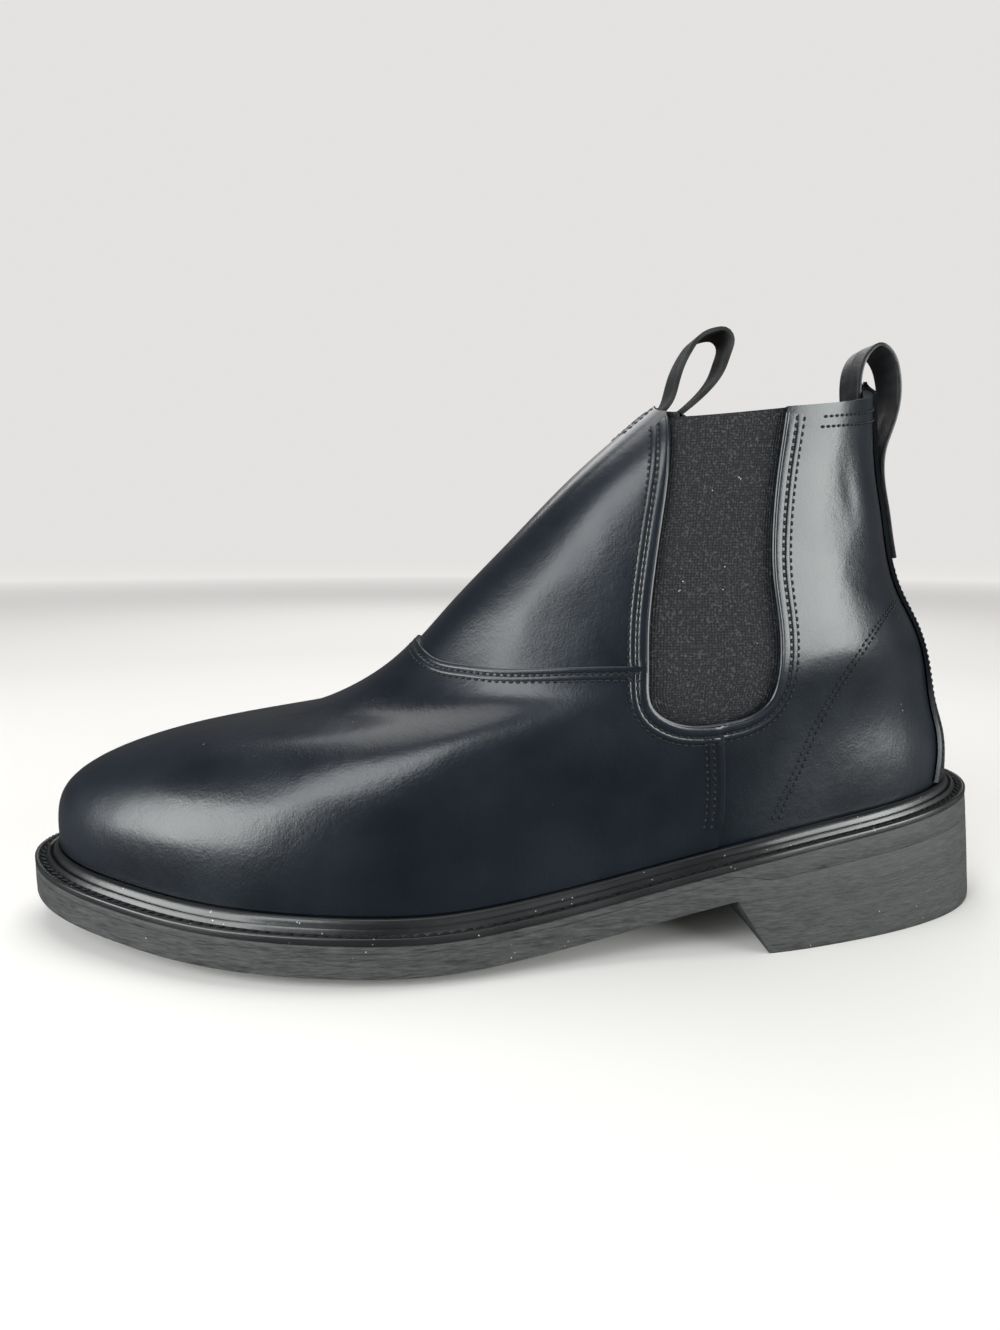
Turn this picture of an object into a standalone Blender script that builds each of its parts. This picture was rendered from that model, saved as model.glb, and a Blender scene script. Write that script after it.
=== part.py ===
"""A left side gore work boot, empty and standing on its sole.

Metres. +X runs from heel to toe, +Y is the outer (lateral) side of the left foot and +Z is up.
The origin is on the floor, under the middle of the outsole. Every table holds shares of the
named sizes, one row for a section and one named column for each size that it sets.
"""
import math
from collections import namedtuple

import bmesh
import bpy
import numpy as np
from mathutils import Vector

# Driving dimensions of the sole.
OUTSOLE_LENGTH = 0.3195
OUTSOLE_WIDTH = 0.1180
RUBBER_EDGE = 0.0097
WELT_EDGE = 0.0020
EDGE_LIFT = 0.0032
HEEL_RISE = 0.0245
TOE_SPRING = 0.0072
CROWN = 0.0050
HEEL_BREAST_TOP = 0.1005
HEEL_BREAST_RAKE = 0.0105
WELT_WIDTH = 0.0080

# Driving dimensions of the upper.
UPPER_HEIGHT = 0.1305
LEATHER = 0.0020
VAMP_STEP = 0.0010
ELASTIC = 0.0014
INSOLE = 0.0030
STRIP = 0.0012
SEAM_GAP = 0.0003
STRIP_GAP = 0.0005

# Gores, vamp edge, back strip and pull loops.
GORE_MIDDLE = -0.0515
GORE_FOOT = 0.0688
GORE_WIDTH = 0.0385
GORE_HEIGHT = 0.0935
GORE_MARGIN = 0.0060
GORE_CUT_FROM = 0.0160
COLLAR_DROP = 0.0390
LEVEL_FOOT = 0.0500
HEEL_TAPER = 0.0035
STRIP_HALF = 0.0100
STRIP_FLARE_HALF = 0.0260
LOOP_WIDTH = 0.0176
LOOP_STRAP = 0.0013
REAR_LOOP_HEIGHT = 0.0120
FRONT_LOOP_HEIGHT = 0.0270

# How finely the solids are faceted.
SOLE_STATIONS = 32
SOLE_ROWS = 6
RING_COLUMNS = SOLE_STATIONS
RING_ROWS = 16
VAMP_FOOT = 0.04
VAMP_TOP = 0.72
VAMP_ROWS = 12
GORE_RISE = 0.25
GORE_ROWS = 12
STRIP_FOOT = 0.045
STRIP_FLARE_RISE = 0.45
STRIP_ROWS = 14
STRIP_COLUMNS = 5
LOOP_STATIONS = 28

SOLE_BOTTOM_COLOUR = (0.030, 0.031, 0.032, 1.0)
LEATHER_COLOUR = (0.010, 0.012, 0.016, 1.0)
ELASTIC_COLOUR = (0.016, 0.017, 0.018, 1.0)
INSOLE_COLOUR = (0.110, 0.085, 0.060, 1.0)
WEBBING_COLOUR = (0.014, 0.014, 0.015, 1.0)


def natural_spline(places, values):
    """A natural cubic through the given values, as a function of place."""
    x = np.array(places, dtype=float)
    y = np.array(values, dtype=float)
    count = len(x)
    h = np.diff(x)
    matrix = np.eye(count)
    right = np.zeros(count)
    for i in range(1, count - 1):
        matrix[i, i - 1] = h[i - 1]
        matrix[i, i] = 2 * (h[i - 1] + h[i])
        matrix[i, i + 1] = h[i]
        right[i] = 6 * ((y[i + 1] - y[i]) / h[i] - (y[i] - y[i - 1]) / h[i - 1])
    bend = np.linalg.solve(matrix, right)

    def value(place):
        i = int(np.clip(np.searchsorted(x, place) - 1, 0, count - 2))
        a = (x[i + 1] - place) / h[i]
        b = (place - x[i]) / h[i]
        curve = ((a ** 3 - a) * bend[i] + (b ** 3 - b) * bend[i + 1]) * h[i] ** 2 / 6
        return float(a * y[i] + b * y[i + 1] + curve)

    return value


def columns_as_curves(row_type, rows, turn=None):
    """One spline for each named column of a table, over its first column."""
    places = [row[0] if turn is None else turn(row[0]) for row in rows]
    curves = {}
    for index, name in enumerate(row_type._fields[1:], start=1):
        curves[name] = natural_spline(places, [row[index] for row in rows])
    return curves


def share_to_angle(share):
    """Places along a length, as an angle: 0 at the heel end and pi at the toe end."""
    return math.acos(max(-1.0, min(1.0, 1 - 2 * share)))


def angle_to_share(angle):
    return (1 - math.cos(angle)) / 2


# The outline of the sole seen from above. Along: share of the outsole's length from the heel.
# Middle and half: the middle line's place and half the width, as shares of the outsole's width.
Plan = namedtuple("Plan", "along middle half")
PLAN = (
    Plan(0.000, -0.108, 0.000),
    Plan(0.030, -0.103, 0.205),
    Plan(0.080, -0.082, 0.290),
    Plan(0.150, -0.037, 0.330),
    Plan(0.220, 0.012, 0.339),
    Plan(0.280, 0.044, 0.342),
    Plan(0.340, 0.058, 0.342),
    Plan(0.400, 0.064, 0.347),
    Plan(0.500, 0.064, 0.392),
    Plan(0.600, 0.048, 0.461),
    Plan(0.660, 0.028, 0.490),
    Plan(0.720, 0.008, 0.494),
    Plan(0.800, -0.014, 0.459),
    Plan(0.880, -0.030, 0.371),
    Plan(0.940, -0.034, 0.272),
    Plan(0.980, -0.036, 0.160),
    Plan(1.000, -0.036, 0.000),
)
PLAN_CURVES = columns_as_curves(Plan, PLAN, share_to_angle)

# The height of the welt's top edge, as shares of the heel rise and of the toe spring.
Seat = namedtuple("Seat", "along heel toe")
SEAT = (
    Seat(0.00, 1.000, 0.00),
    Seat(0.14, 0.830, 0.00),
    Seat(0.28, 0.640, 0.00),
    Seat(0.35, 0.455, 0.00),
    Seat(0.42, 0.255, 0.00),
    Seat(0.50, 0.085, 0.00),
    Seat(0.58, 0.000, 0.00),
    Seat(0.66, 0.000, 0.08),
    Seat(0.74, 0.000, 0.18),
    Seat(0.82, 0.000, 0.32),
    Seat(0.90, 0.000, 0.55),
    Seat(1.00, 0.000, 1.00),
)
SEAT_CURVES = columns_as_curves(Seat, SEAT)

# The middle line is set so that the widest places reach equally far to both sides.
PLAN_SHIFT = 0.5 * OUTSOLE_WIDTH * (
    max(row.middle + row.half for row in PLAN) + min(row.middle - row.half for row in PLAN))


def seat_height(x):
    """The height of the welt's top edge above the floor at x."""
    share = min(1.0, max(0.0, x / OUTSOLE_LENGTH + 0.5))
    lowest = EDGE_LIFT + RUBBER_EDGE + WELT_EDGE
    return lowest + HEEL_RISE * SEAT_CURVES["heel"](share) + TOE_SPRING * SEAT_CURVES["toe"](share)


def plan_point(angle, side):
    """A point of the sole's outline: side is 1 on the outer side and -1 on the inner side."""
    middle = PLAN_CURVES["middle"](angle)
    half = PLAN_CURVES["half"](angle)
    x = OUTSOLE_LENGTH * (angle_to_share(angle) - 0.5)
    return Vector((x, OUTSOLE_WIDTH * (middle + side * half) - PLAN_SHIFT, 0.0))


def inset_point(angle, side, inset):
    """The same point moved inwards, square to the outline."""
    step = 0.01
    before = plan_point(max(0.0, angle - step), side)
    after = plan_point(min(math.pi, angle + step), side)
    if angle < step:
        before = plan_point(step, -side)
    if angle > math.pi - step:
        after = plan_point(math.pi - step, -side)
    along = (after - before).normalized()
    inward = Vector((along.y, -along.x, 0.0)) * side
    return plan_point(angle, side) + inward * inset


def edge_point(angle, side, inset):
    """The same for everything above the heel's foot: the heel tapers in towards its top."""
    taper = HEEL_TAPER * max(0.0, math.cos(angle)) ** 2
    return inset_point(angle, side, inset + taper)


def outline_angles(stations):
    return [math.pi * i / stations for i in range(stations + 1)]


# Each ring of the upper runs once round the foot, from the back seam to the front middle line.
# Rise: the ring's place between feather line and collar. Back_x and front_x: shares of the
# outsole's length. Back_z and front_z: height over the seat there, as shares of the upper's height.
# Back_y and front_y: sideways place of those ends; bow moves the middle outwards between them.
# Outer, inner: half widths, as shares of the outsole's width; heelward moves their fullness to the
# back and square fills the front end. Sole: how much the ring still follows the feather line.
Ring = namedtuple("Ring", "rise back_x back_z front_x front_z back_y front_y "
                          "bow outer inner heelward square sole")
RINGS = (
    Ring(0.00, 0.0369, -0.013, 0.9740, -0.013, -0.106, -0.036, 0.130, 0.385, 0.395, -0.10, 0.00, 1.00),
    Ring(0.10, 0.0380, 0.075, 0.9730, 0.085, -0.102, -0.036, 0.130, 0.383, 0.393, -0.10, 0.00, 0.97),
    Ring(0.20, 0.0500, 0.165, 0.9430, 0.178, -0.094, -0.034, 0.125, 0.373, 0.378, -0.08, 0.06, 0.82),
    Ring(0.30, 0.0570, 0.255, 0.9100, 0.252, -0.084, -0.028, 0.110, 0.358, 0.358, -0.04, 0.10, 0.50),
    Ring(0.40, 0.0670, 0.345, 0.8330, 0.326, -0.070, -0.016, 0.090, 0.345, 0.338, 0.00, 0.08, 0.20),
    Ring(0.50, 0.0860, 0.435, 0.7290, 0.382, -0.054, 0.004, 0.068, 0.333, 0.322, 0.03, 0.08, 0.00),
    Ring(0.60, 0.1100, 0.530, 0.6370, 0.500, -0.040, 0.020, 0.048, 0.322, 0.308, 0.03, 0.14, 0.00),
    Ring(0.70, 0.1260, 0.630, 0.5750, 0.656, -0.028, 0.028, 0.030, 0.311, 0.296, 0.02, 0.22, 0.00),
    Ring(0.80, 0.1370, 0.735, 0.5120, 0.803, -0.018, 0.030, 0.016, 0.301, 0.285, 0.01, 0.32, 0.00),
    Ring(0.90, 0.1490, 0.860, 0.4470, 0.940, -0.010, 0.028, 0.006, 0.291, 0.275, 0.00, 0.40, 0.00),
    Ring(1.00, 0.1570, 1.048, 0.3710, 1.062, -0.004, 0.025, 0.000, 0.284, 0.268, 0.00, 0.44, 0.00),
)
RING_CURVES = columns_as_curves(Ring, RINGS)
FEATHER_INSET = WELT_WIDTH + SEAM_GAP
BOW_HEELWARD = 0.6


def last_point(angle, side, rise):
    """A point of the upper's outer face before any offset."""
    rise -= COLLAR_DROP * rise ** 3 * math.sin(angle) ** 0.6 if rise > 0 else 0.0
    ring = {name: curve(rise) for name, curve in RING_CURVES.items()}
    share = angle_to_share(angle)
    back_x = OUTSOLE_LENGTH * (ring["back_x"] - 0.5)
    front_x = OUTSOLE_LENGTH * (ring["front_x"] - 0.5)
    x = back_x + (front_x - back_x) * share
    follow = ring["sole"]
    feather = edge_point(angle, side, FEATHER_INSET)
    x += follow ** 3 * (feather.x - x)
    back_z = seat_height(back_x) + ring["back_z"] * UPPER_HEIGHT
    front_z = seat_height(front_x) + ring["front_z"] * UPPER_HEIGHT
    straight = back_z + (front_z - back_z) * share
    seat_chord = seat_height(back_x) + (seat_height(front_x) - seat_height(back_x)) * share
    z = straight + follow * (seat_height(x) - seat_chord)
    width = ring["outer"] if side > 0 else ring["inner"]
    half = width * max(0.0, math.sin(angle)) ** (1 - ring["square"] * share ** 2)
    half += width * ring["heelward"] * math.sin(2 * angle)
    middle = ring["back_y"] + (ring["front_y"] - ring["back_y"]) * share
    middle += ring["bow"] * math.sin(angle) ** 2 * (1 + BOW_HEELWARD * math.cos(angle))
    y = OUTSOLE_WIDTH * (middle + side * half) - PLAN_SHIFT
    y += follow * (feather.y - y)
    return Vector((x, y, z))


def turn_to_side(turn):
    """A full turn round a ring, as the angle from the back and the side of the foot."""
    turn = turn % (2 * math.pi)
    if turn <= math.pi:
        return turn, 1
    return 2 * math.pi - turn, -1


def skin_point(turn, rise, lift):
    """A point of the upper's outer face, moved outwards by lift."""
    angle, side = turn_to_side(turn)
    point = last_point(angle, side, rise)
    if lift == 0:
        return point
    step = 0.01
    ahead = last_point(*turn_to_side(turn + step), rise)
    behind = last_point(*turn_to_side(turn - step), rise)
    above = last_point(angle, side, min(1.0, rise + step))
    below = last_point(angle, side, max(0.0, rise - step))
    normal = (above - below).cross(ahead - behind).normalized()
    normal.z *= min(1.0, rise / LEVEL_FOOT)
    return point + normal.normalized() * lift


def finish_mesh(name, bm, colour, roughness):
    """Turn a bmesh into a named object with its own material."""
    bmesh.ops.recalc_face_normals(bm, faces=bm.faces)
    mesh = bpy.data.meshes.new(name)
    bm.to_mesh(mesh)
    bm.free()
    return add_object(name, mesh, colour, roughness)


def add_object(name, mesh, colour, roughness):
    obj = bpy.data.objects.new(name, mesh)
    bpy.context.scene.collection.objects.link(obj)
    material = bpy.data.materials.new(name + "_finish")
    material.use_nodes = True
    shader = material.node_tree.nodes["Principled BSDF"]
    shader.inputs["Base Color"].default_value = colour
    shader.inputs["Roughness"].default_value = roughness
    mesh.materials.clear()
    mesh.materials.append(material)
    mesh.shade_smooth()
    mesh.set_sharp_from_angle(angle=math.radians(35))
    return obj


def joined_rings(bm, rings):
    """Side faces between neighbouring closed rings of the same number of vertices."""
    for lower, upper in zip(rings, rings[1:]):
        count = len(lower)
        for i in range(count):
            j = (i + 1) % count
            bm.faces.new((lower[i], lower[j], upper[j], upper[i]))


def skin_ring(bm, rise, lift):
    columns = 2 * RING_COLUMNS
    return [bm.verts.new(skin_point(2 * math.pi * i / columns, rise, lift)) for i in range(columns)]


def skin_shell(name, lift_in, lift_out, rise_from, rise_to, rows, colour, roughness):
    """A closed shell between two offsets of the upper's face, open at top and bottom."""
    bm = bmesh.new()
    rises = [rise_from + (rise_to - rise_from) * i / rows for i in range(rows + 1)]
    outside = [skin_ring(bm, rise, lift_out) for rise in rises]
    inside = [skin_ring(bm, rise, lift_in) for rise in reversed(rises)]
    joined_rings(bm, outside + inside + [outside[0]])
    return finish_mesh(name, bm, colour, roughness)


def sole_grid(bm, stations, outline, inset, height):
    """A net of vertices over the sole's outline: one row for each station, tips at both ends."""
    rows = []
    for angle in stations:
        outer = outline(angle, 1, inset)
        inner = outline(angle, -1, inset)
        if angle in (stations[0], stations[-1]):
            middle = (outer + inner) / 2
            rows.append([bm.verts.new((middle.x, middle.y, height(middle.x, 1.0)))])
            continue
        row = []
        for i in range(SOLE_ROWS + 1):
            across = 2 * i / SOLE_ROWS - 1
            place = inner.lerp(outer, (across + 1) / 2)
            row.append(bm.verts.new((place.x, place.y, height(place.x, across))))
        rows.append(row)
    return rows


def net_faces(bm, rows):
    """Faces of a net whose first and last rows are single tips."""
    for before, after in zip(rows, rows[1:]):
        if len(before) == 1:
            for a, b in zip(after, after[1:]):
                bm.faces.new((before[0], a, b))
        elif len(after) == 1:
            for a, b in zip(before, before[1:]):
                bm.faces.new((a, b, after[0]))
        else:
            for i in range(len(before) - 1):
                bm.faces.new((before[i], before[i + 1], after[i + 1], after[i]))


def net_rim(rows):
    """The closed rim of such a net, in order."""
    inner = [row[0] for row in rows]
    outer = [row[-1] for row in rows[1:-1]]
    return inner + outer[::-1]


def plate(name, stations, inset, top, bottom, foot_outline, colour, roughness):
    """A solid between two height functions over the sole's inset outline."""
    bm = bmesh.new()
    upper_net = sole_grid(bm, stations, edge_point, inset, top)
    lower_net = sole_grid(bm, stations, foot_outline, inset, bottom)
    net_faces(bm, upper_net)
    net_faces(bm, lower_net)
    joined_rings(bm, [net_rim(lower_net), net_rim(upper_net)])
    return finish_mesh(name, bm, colour, roughness)


def rubber_top(x, across=0.0):
    return seat_height(x) - WELT_EDGE - SEAM_GAP


def heel_breast_foot():
    """Where the raked heel breast meets the floor."""
    return HEEL_BREAST_TOP - HEEL_BREAST_RAKE - 0.5 * OUTSOLE_LENGTH


def underside(x, across):
    """The tread's height: flat heel, raked breast, arch, crowned forefoot with a flat spot."""
    breast_top = HEEL_BREAST_TOP - 0.5 * OUTSOLE_LENGTH
    foot = heel_breast_foot()
    crown = CROWN * (1 - abs(across) ** 2.5)
    shank = max(0.0, seat_height(max(x, breast_top)) - WELT_EDGE - RUBBER_EDGE - crown)
    if x <= foot + 1e-6:
        return 0.0
    if x < breast_top:
        return shank * (x - foot) / HEEL_BREAST_RAKE
    return shank


def sole_stations():
    """Station angles, with a station exactly at the top and the foot of the heel breast."""
    angles = outline_angles(SOLE_STATIONS)
    for x in (heel_breast_foot(), HEEL_BREAST_TOP - 0.5 * OUTSOLE_LENGTH):
        exact = share_to_angle(x / OUTSOLE_LENGTH + 0.5)
        nearest = min(range(len(angles)), key=lambda i: abs(angles[i] - exact))
        angles[nearest] = exact
    return sorted(angles)


def make_outsole():
    return plate("outsole", sole_stations(), 0.0, rubber_top, underside, inset_point,
                 SOLE_BOTTOM_COLOUR, 0.75)


def make_insole():
    inset = FEATHER_INSET + LEATHER + 5 * SEAM_GAP
    stations = outline_angles(SOLE_STATIONS)

    def bottom(x, across):
        return rubber_top(x) + SEAM_GAP

    def top(x, across):
        return bottom(x, across) + INSOLE

    return plate("insole", stations, inset, top, bottom, edge_point, INSOLE_COLOUR, 0.8)


# The welt's section, from its outer edge inwards: inset as a share of the welt's width, height
# over the outsole as a share of its edge. A stitch channel, a thin ridge and a bead by the upper.
Section = namedtuple("Section", "inset height")
WELT_SECTION = (
    Section(0.000, 0.00),
    Section(0.000, 0.92),
    Section(0.140, 1.00),
    Section(0.180, 0.82),
    Section(0.440, 0.82),
    Section(0.540, 1.35),
    Section(0.660, 1.05),
    Section(0.760, 1.80),
    Section(0.880, 2.00),
    Section(0.970, 1.70),
    Section(0.970, 0.00),
)


def make_welt():
    """The strip round the upper's foot, swept along the sole's outline."""
    bm = bmesh.new()
    turns = outline_angles(SOLE_STATIONS)
    loop = [(angle, 1) for angle in turns] + [(angle, -1) for angle in turns[-2:0:-1]]
    rings = []
    for section in WELT_SECTION:
        ring = []
        for angle, side in loop:
            place = edge_point(angle, side, section.inset * WELT_WIDTH)
            height = rubber_top(place.x) + SEAM_GAP + section.height * WELT_EDGE
            ring.append(bm.verts.new((place.x, place.y, height)))
        rings.append(ring)
    joined_rings(bm, rings + [rings[0]])
    return finish_mesh("welt", bm, SOLE_BOTTOM_COLOUR, 0.5)


# The gore's opening from the side, bottom to top. Up: share of the gore's height from its foot.
# Front and rear: places of its two edges from its middle, as shares of its width.
Gore = namedtuple("Gore", "up front rear")
GORE = (
    Gore(0.000, 0.23, -0.10),
    Gore(0.020, 0.37, -0.31),
    Gore(0.065, 0.49, -0.45),
    Gore(0.140, 0.51, -0.50),
    Gore(0.290, 0.50, -0.50),
    Gore(0.440, 0.46, -0.45),
    Gore(0.600, 0.40, -0.44),
    Gore(0.760, 0.34, -0.47),
    Gore(0.940, 0.31, -0.52),
    Gore(1.150, 0.30, -0.55),
)

# The vamp's rear edge from the side, down from the front middle line. Ahead: place from the
# gore's middle as a share of the gore's width. Up: height over the gore's foot, as above.
Edge = namedtuple("Edge", "ahead up")
VAMP_EDGE = (
    Edge(2.600, 0.360),
    Edge(2.240, 0.235),
    Edge(2.090, 0.185),
    Edge(1.850, 0.168),
    Edge(1.600, 0.163),
    Edge(1.280, 0.168),
    Edge(0.960, 0.176),
    Edge(0.560, 0.180),
    Edge(0.530, 0.100),
    Edge(0.430, 0.020),
    Edge(0.300, -0.020),
    Edge(-0.070, -0.030),
    Edge(-0.110, -0.150),
    Edge(-0.130, -0.260),
    Edge(-0.090, -0.420),
    Edge(-0.080, -1.000),
)


def side_prism(name, outline, spans):
    """A cutter: a closed outline seen from the side, drawn out across each span of the foot."""
    bm = bmesh.new()
    for y_from, y_to in spans:
        ends = [[bm.verts.new((x, y, z)) for x, z in outline] for y in (y_from, y_to)]
        joined_rings(bm, ends)
        bm.faces.new(ends[0])
        bm.faces.new(ends[1])
    bmesh.ops.recalc_face_normals(bm, faces=bm.faces)
    mesh = bpy.data.meshes.new(name)
    bm.to_mesh(mesh)
    bm.free()
    obj = bpy.data.objects.new(name, mesh)
    bpy.context.scene.collection.objects.link(obj)
    obj.hide_render = True
    obj.display_type = "WIRE"
    return obj


def gore_outline(margin):
    """The opening's outline, grown by a margin at its sides and foot."""
    front = []
    rear = []
    for row in GORE:
        z = GORE_FOOT + row.up * GORE_HEIGHT - margin * max(0.0, 1 - row.up / 0.15)
        front.append((GORE_MIDDLE + row.front * GORE_WIDTH + margin, z))
        rear.append((GORE_MIDDLE + row.rear * GORE_WIDTH - margin, z))
    return front + rear[::-1]


def vamp_outline():
    rear = [(GORE_MIDDLE + row.ahead * GORE_WIDTH, GORE_FOOT + row.up * GORE_HEIGHT) for row in VAMP_EDGE]
    beyond = 0.6 * OUTSOLE_LENGTH
    return rear + [(beyond, rear[-1][1]), (beyond, rear[0][1])]


def cut_with(obj, cutter, operation):
    """Apply a boolean between two solids; the cutter stays as a hidden guide."""
    modifier = obj.modifiers.new(operation.lower(), "BOOLEAN")
    modifier.operation = operation
    modifier.solver = "EXACT"
    modifier.object = cutter
    bpy.context.view_layer.update()
    graph = bpy.context.evaluated_depsgraph_get()
    mesh = bpy.data.meshes.new_from_object(obj.evaluated_get(graph))
    obj.modifiers.clear()
    obj.data = mesh


def remove_guides(*guides):
    for guide in guides:
        bpy.data.objects.remove(guide, do_unlink=True)


def make_upper():
    """The hollow leather upper, with the vamp lying a step proud and an opening for each gore."""
    upper = skin_shell("upper", -LEATHER, 0.0, 0.0, 1.0, RING_ROWS, LEATHER_COLOUR, 0.3)
    vamp = skin_shell("vamp_step", -0.5 * LEATHER, VAMP_STEP, VAMP_FOOT, VAMP_TOP, VAMP_ROWS,
                      LEATHER_COLOUR, 0.3)
    region = side_prism("vamp_region", vamp_outline(), [(-OUTSOLE_WIDTH, OUTSOLE_WIDTH)])
    cut_with(vamp, region, "INTERSECT")
    cut_with(upper, vamp, "UNION")
    both_sides = [(side * GORE_CUT_FROM, side * OUTSOLE_WIDTH) for side in (1, -1)]
    openings = side_prism("gore_openings", gore_outline(0.0), both_sides)
    cut_with(upper, openings, "DIFFERENCE")
    remove_guides(region, vamp, openings)


def make_gore(name, side):
    """One elastic gore: a sheet behind the opening, wider than it by the seam's margin."""
    face = -LEATHER - SEAM_GAP
    gore = skin_shell(name, face - ELASTIC, face, GORE_RISE, 1.0, GORE_ROWS, ELASTIC_COLOUR, 0.9)
    span = (side * (GORE_CUT_FROM - GORE_MARGIN), side * OUTSOLE_WIDTH)
    region = side_prism("gore_region", gore_outline(GORE_MARGIN), [span])
    cut_with(gore, region, "INTERSECT")
    remove_guides(region)


def turn_at_distance(rise, distance, seam):
    """The turn of a point this far from the back seam (0) or from the front middle line (pi).

    A positive distance lies on the outer side of the foot.
    """
    start = skin_point(seam, rise, 0.0)
    direction = math.copysign(1.0, distance) * math.cos(seam)
    low = 0.0
    high = 0.5 * math.pi
    for _ in range(30):
        middle = (low + high) / 2
        if (skin_point(seam + direction * middle, rise, 0.0) - start).length < abs(distance):
            low = middle
        else:
            high = middle
    return seam + direction * low


def layered_sheet(bm, layers):
    """A closed sheet between two nets of vertices with the same rows and columns."""
    rims = []
    for net in layers:
        for before, after in zip(net, net[1:]):
            for j in range(len(before) - 1):
                bm.faces.new((before[j], before[j + 1], after[j + 1], after[j]))
        left = [row[0] for row in net[1:-1]]
        right = [row[-1] for row in net[1:-1]]
        rims.append(list(net[0]) + right + list(net[-1])[::-1] + left[::-1])
    joined_rings(bm, rims)


def make_backstay():
    """The strip over the back seam: narrow above, flaring to the sole below the ankle."""
    bm = bmesh.new()
    layers = []
    for lift in (STRIP_GAP, STRIP_GAP + STRIP):
        net = []
        for i in range(STRIP_ROWS + 1):
            rise = STRIP_FOOT + (1.0 - STRIP_FOOT) * i / STRIP_ROWS
            flare = max(0.0, 1 - rise / STRIP_FLARE_RISE)
            half = STRIP_HALF + (STRIP_FLARE_HALF - STRIP_HALF) * flare ** 1.3
            row = []
            for j in range(-STRIP_COLUMNS, STRIP_COLUMNS + 1):
                turn = turn_at_distance(rise, half * j / STRIP_COLUMNS, 0.0)
                row.append(bm.verts.new(skin_point(turn, rise, lift)))
            net.append(row)
        layers.append(net)
    layered_sheet(bm, layers)
    finish_mesh("backstay", bm, LEATHER_COLOUR, 0.35)


# A pull loop's middle line from the side, measured from the collar's end. Back: towards the heel.
# Up: over the collar. Both are shares of the loop's height. Curl: how much of the collar's curve
# the strap still keeps across its width.
Bend = namedtuple("Bend", "back up curl")
REAR_LOOP = (
    Bend(0.52, -1.45, 1.0),
    Bend(0.66, -1.00, 0.8),
    Bend(0.78, -0.40, 0.5),
    Bend(0.70, 0.22, 0.2),
    Bend(0.46, 0.66, 0.0),
    Bend(0.16, 0.84, 0.0),
    Bend(-0.14, 0.70, 0.3),
    Bend(-0.28, 0.34, 0.7),
)
FRONT_LOOP = (
    Bend(0.13, 0.15, 1.0),
    Bend(0.18, 0.34, 0.8),
    Bend(0.22, 0.52, 0.5),
    Bend(0.29, 0.68, 0.2),
    Bend(0.40, 0.82, 0.0),
    Bend(0.55, 0.88, 0.0),
    Bend(0.67, 0.88, 0.0),
    Bend(0.74, 0.80, 0.0),
    Bend(0.73, 0.65, 0.2),
    Bend(0.68, 0.47, 0.5),
    Bend(0.54, 0.27, 0.8),
    Bend(0.34, 0.09, 1.0),
)
REAR_SEWN_OUTSIDE = (0.68, 0.74, 0.80, 0.86)
REAR_SEWN_INSIDE = (0.96, 0.91, 0.86)
FRONT_SEWN = (0.86, 0.91, 0.96, 1.00)
FRONT_TUCKED = (0.93, 0.89, 0.85)
LOOP_SHARES = (-1.0, -0.5, 0.0, 0.5, 1.0)


def smooth_path(points, count):
    """Evenly numbered points on a smooth curve through the given ones."""
    lengths = [0.0]
    for a, b in zip(points, points[1:]):
        lengths.append(lengths[-1] + (b - a).length)
    axes = [natural_spline(lengths, [point[i] for point in points]) for i in range(3)]
    places = [lengths[-1] * i / (count - 1) for i in range(count)]
    return [Vector([axis(place) for axis in axes]) for place in places]


def sewn_rows(rises, seam, lift):
    """Rows of points across a strap that lies along the upper's wall."""
    rows = []
    for rise in rises:
        turns = [turn_at_distance(rise, share * LOOP_WIDTH / 2, seam) for share in LOOP_SHARES]
        rows.append([skin_point(turn, rise, lift) for turn in turns])
    return rows


def free_rows(bends, collar_row, height):
    """Rows of points across a strap where it stands free of the wall."""
    collar = collar_row[len(collar_row) // 2]
    rows = []
    for bend in bends:
        centre = collar + Vector((-bend.back * height, 0.0, bend.up * height))
        row = []
        for share, point in zip(LOOP_SHARES, collar_row):
            straight = Vector((0.0, share * LOOP_WIDTH / 2, 0.0))
            row.append(centre + straight.lerp(point - collar, bend.curl))
        rows.append(row)
    return rows


def make_strap(name, rows, roughness):
    """A strap of even thickness, smooth along its length through the given rows."""
    bm = bmesh.new()
    strands = [smooth_path([row[j] for row in rows], LOOP_STATIONS) for j in range(len(LOOP_SHARES))]
    net = list(zip(*strands))
    last_row = len(net) - 1
    last_place = len(LOOP_SHARES) - 1
    layers = []
    for lift in (-LOOP_STRAP / 2, LOOP_STRAP / 2):
        layer = []
        for i, row in enumerate(net):
            shifted = []
            for j, point in enumerate(row):
                along = net[min(i + 1, last_row)][j] - net[max(i - 1, 0)][j]
                across = row[min(j + 1, last_place)] - row[max(j - 1, 0)]
                normal = along.cross(across).normalized()
                shifted.append(bm.verts.new(point + normal * lift))
            layer.append(shifted)
        layers.append(layer)
    layered_sheet(bm, layers)
    return finish_mesh(name, bm, WEBBING_COLOUR, roughness)


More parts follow.
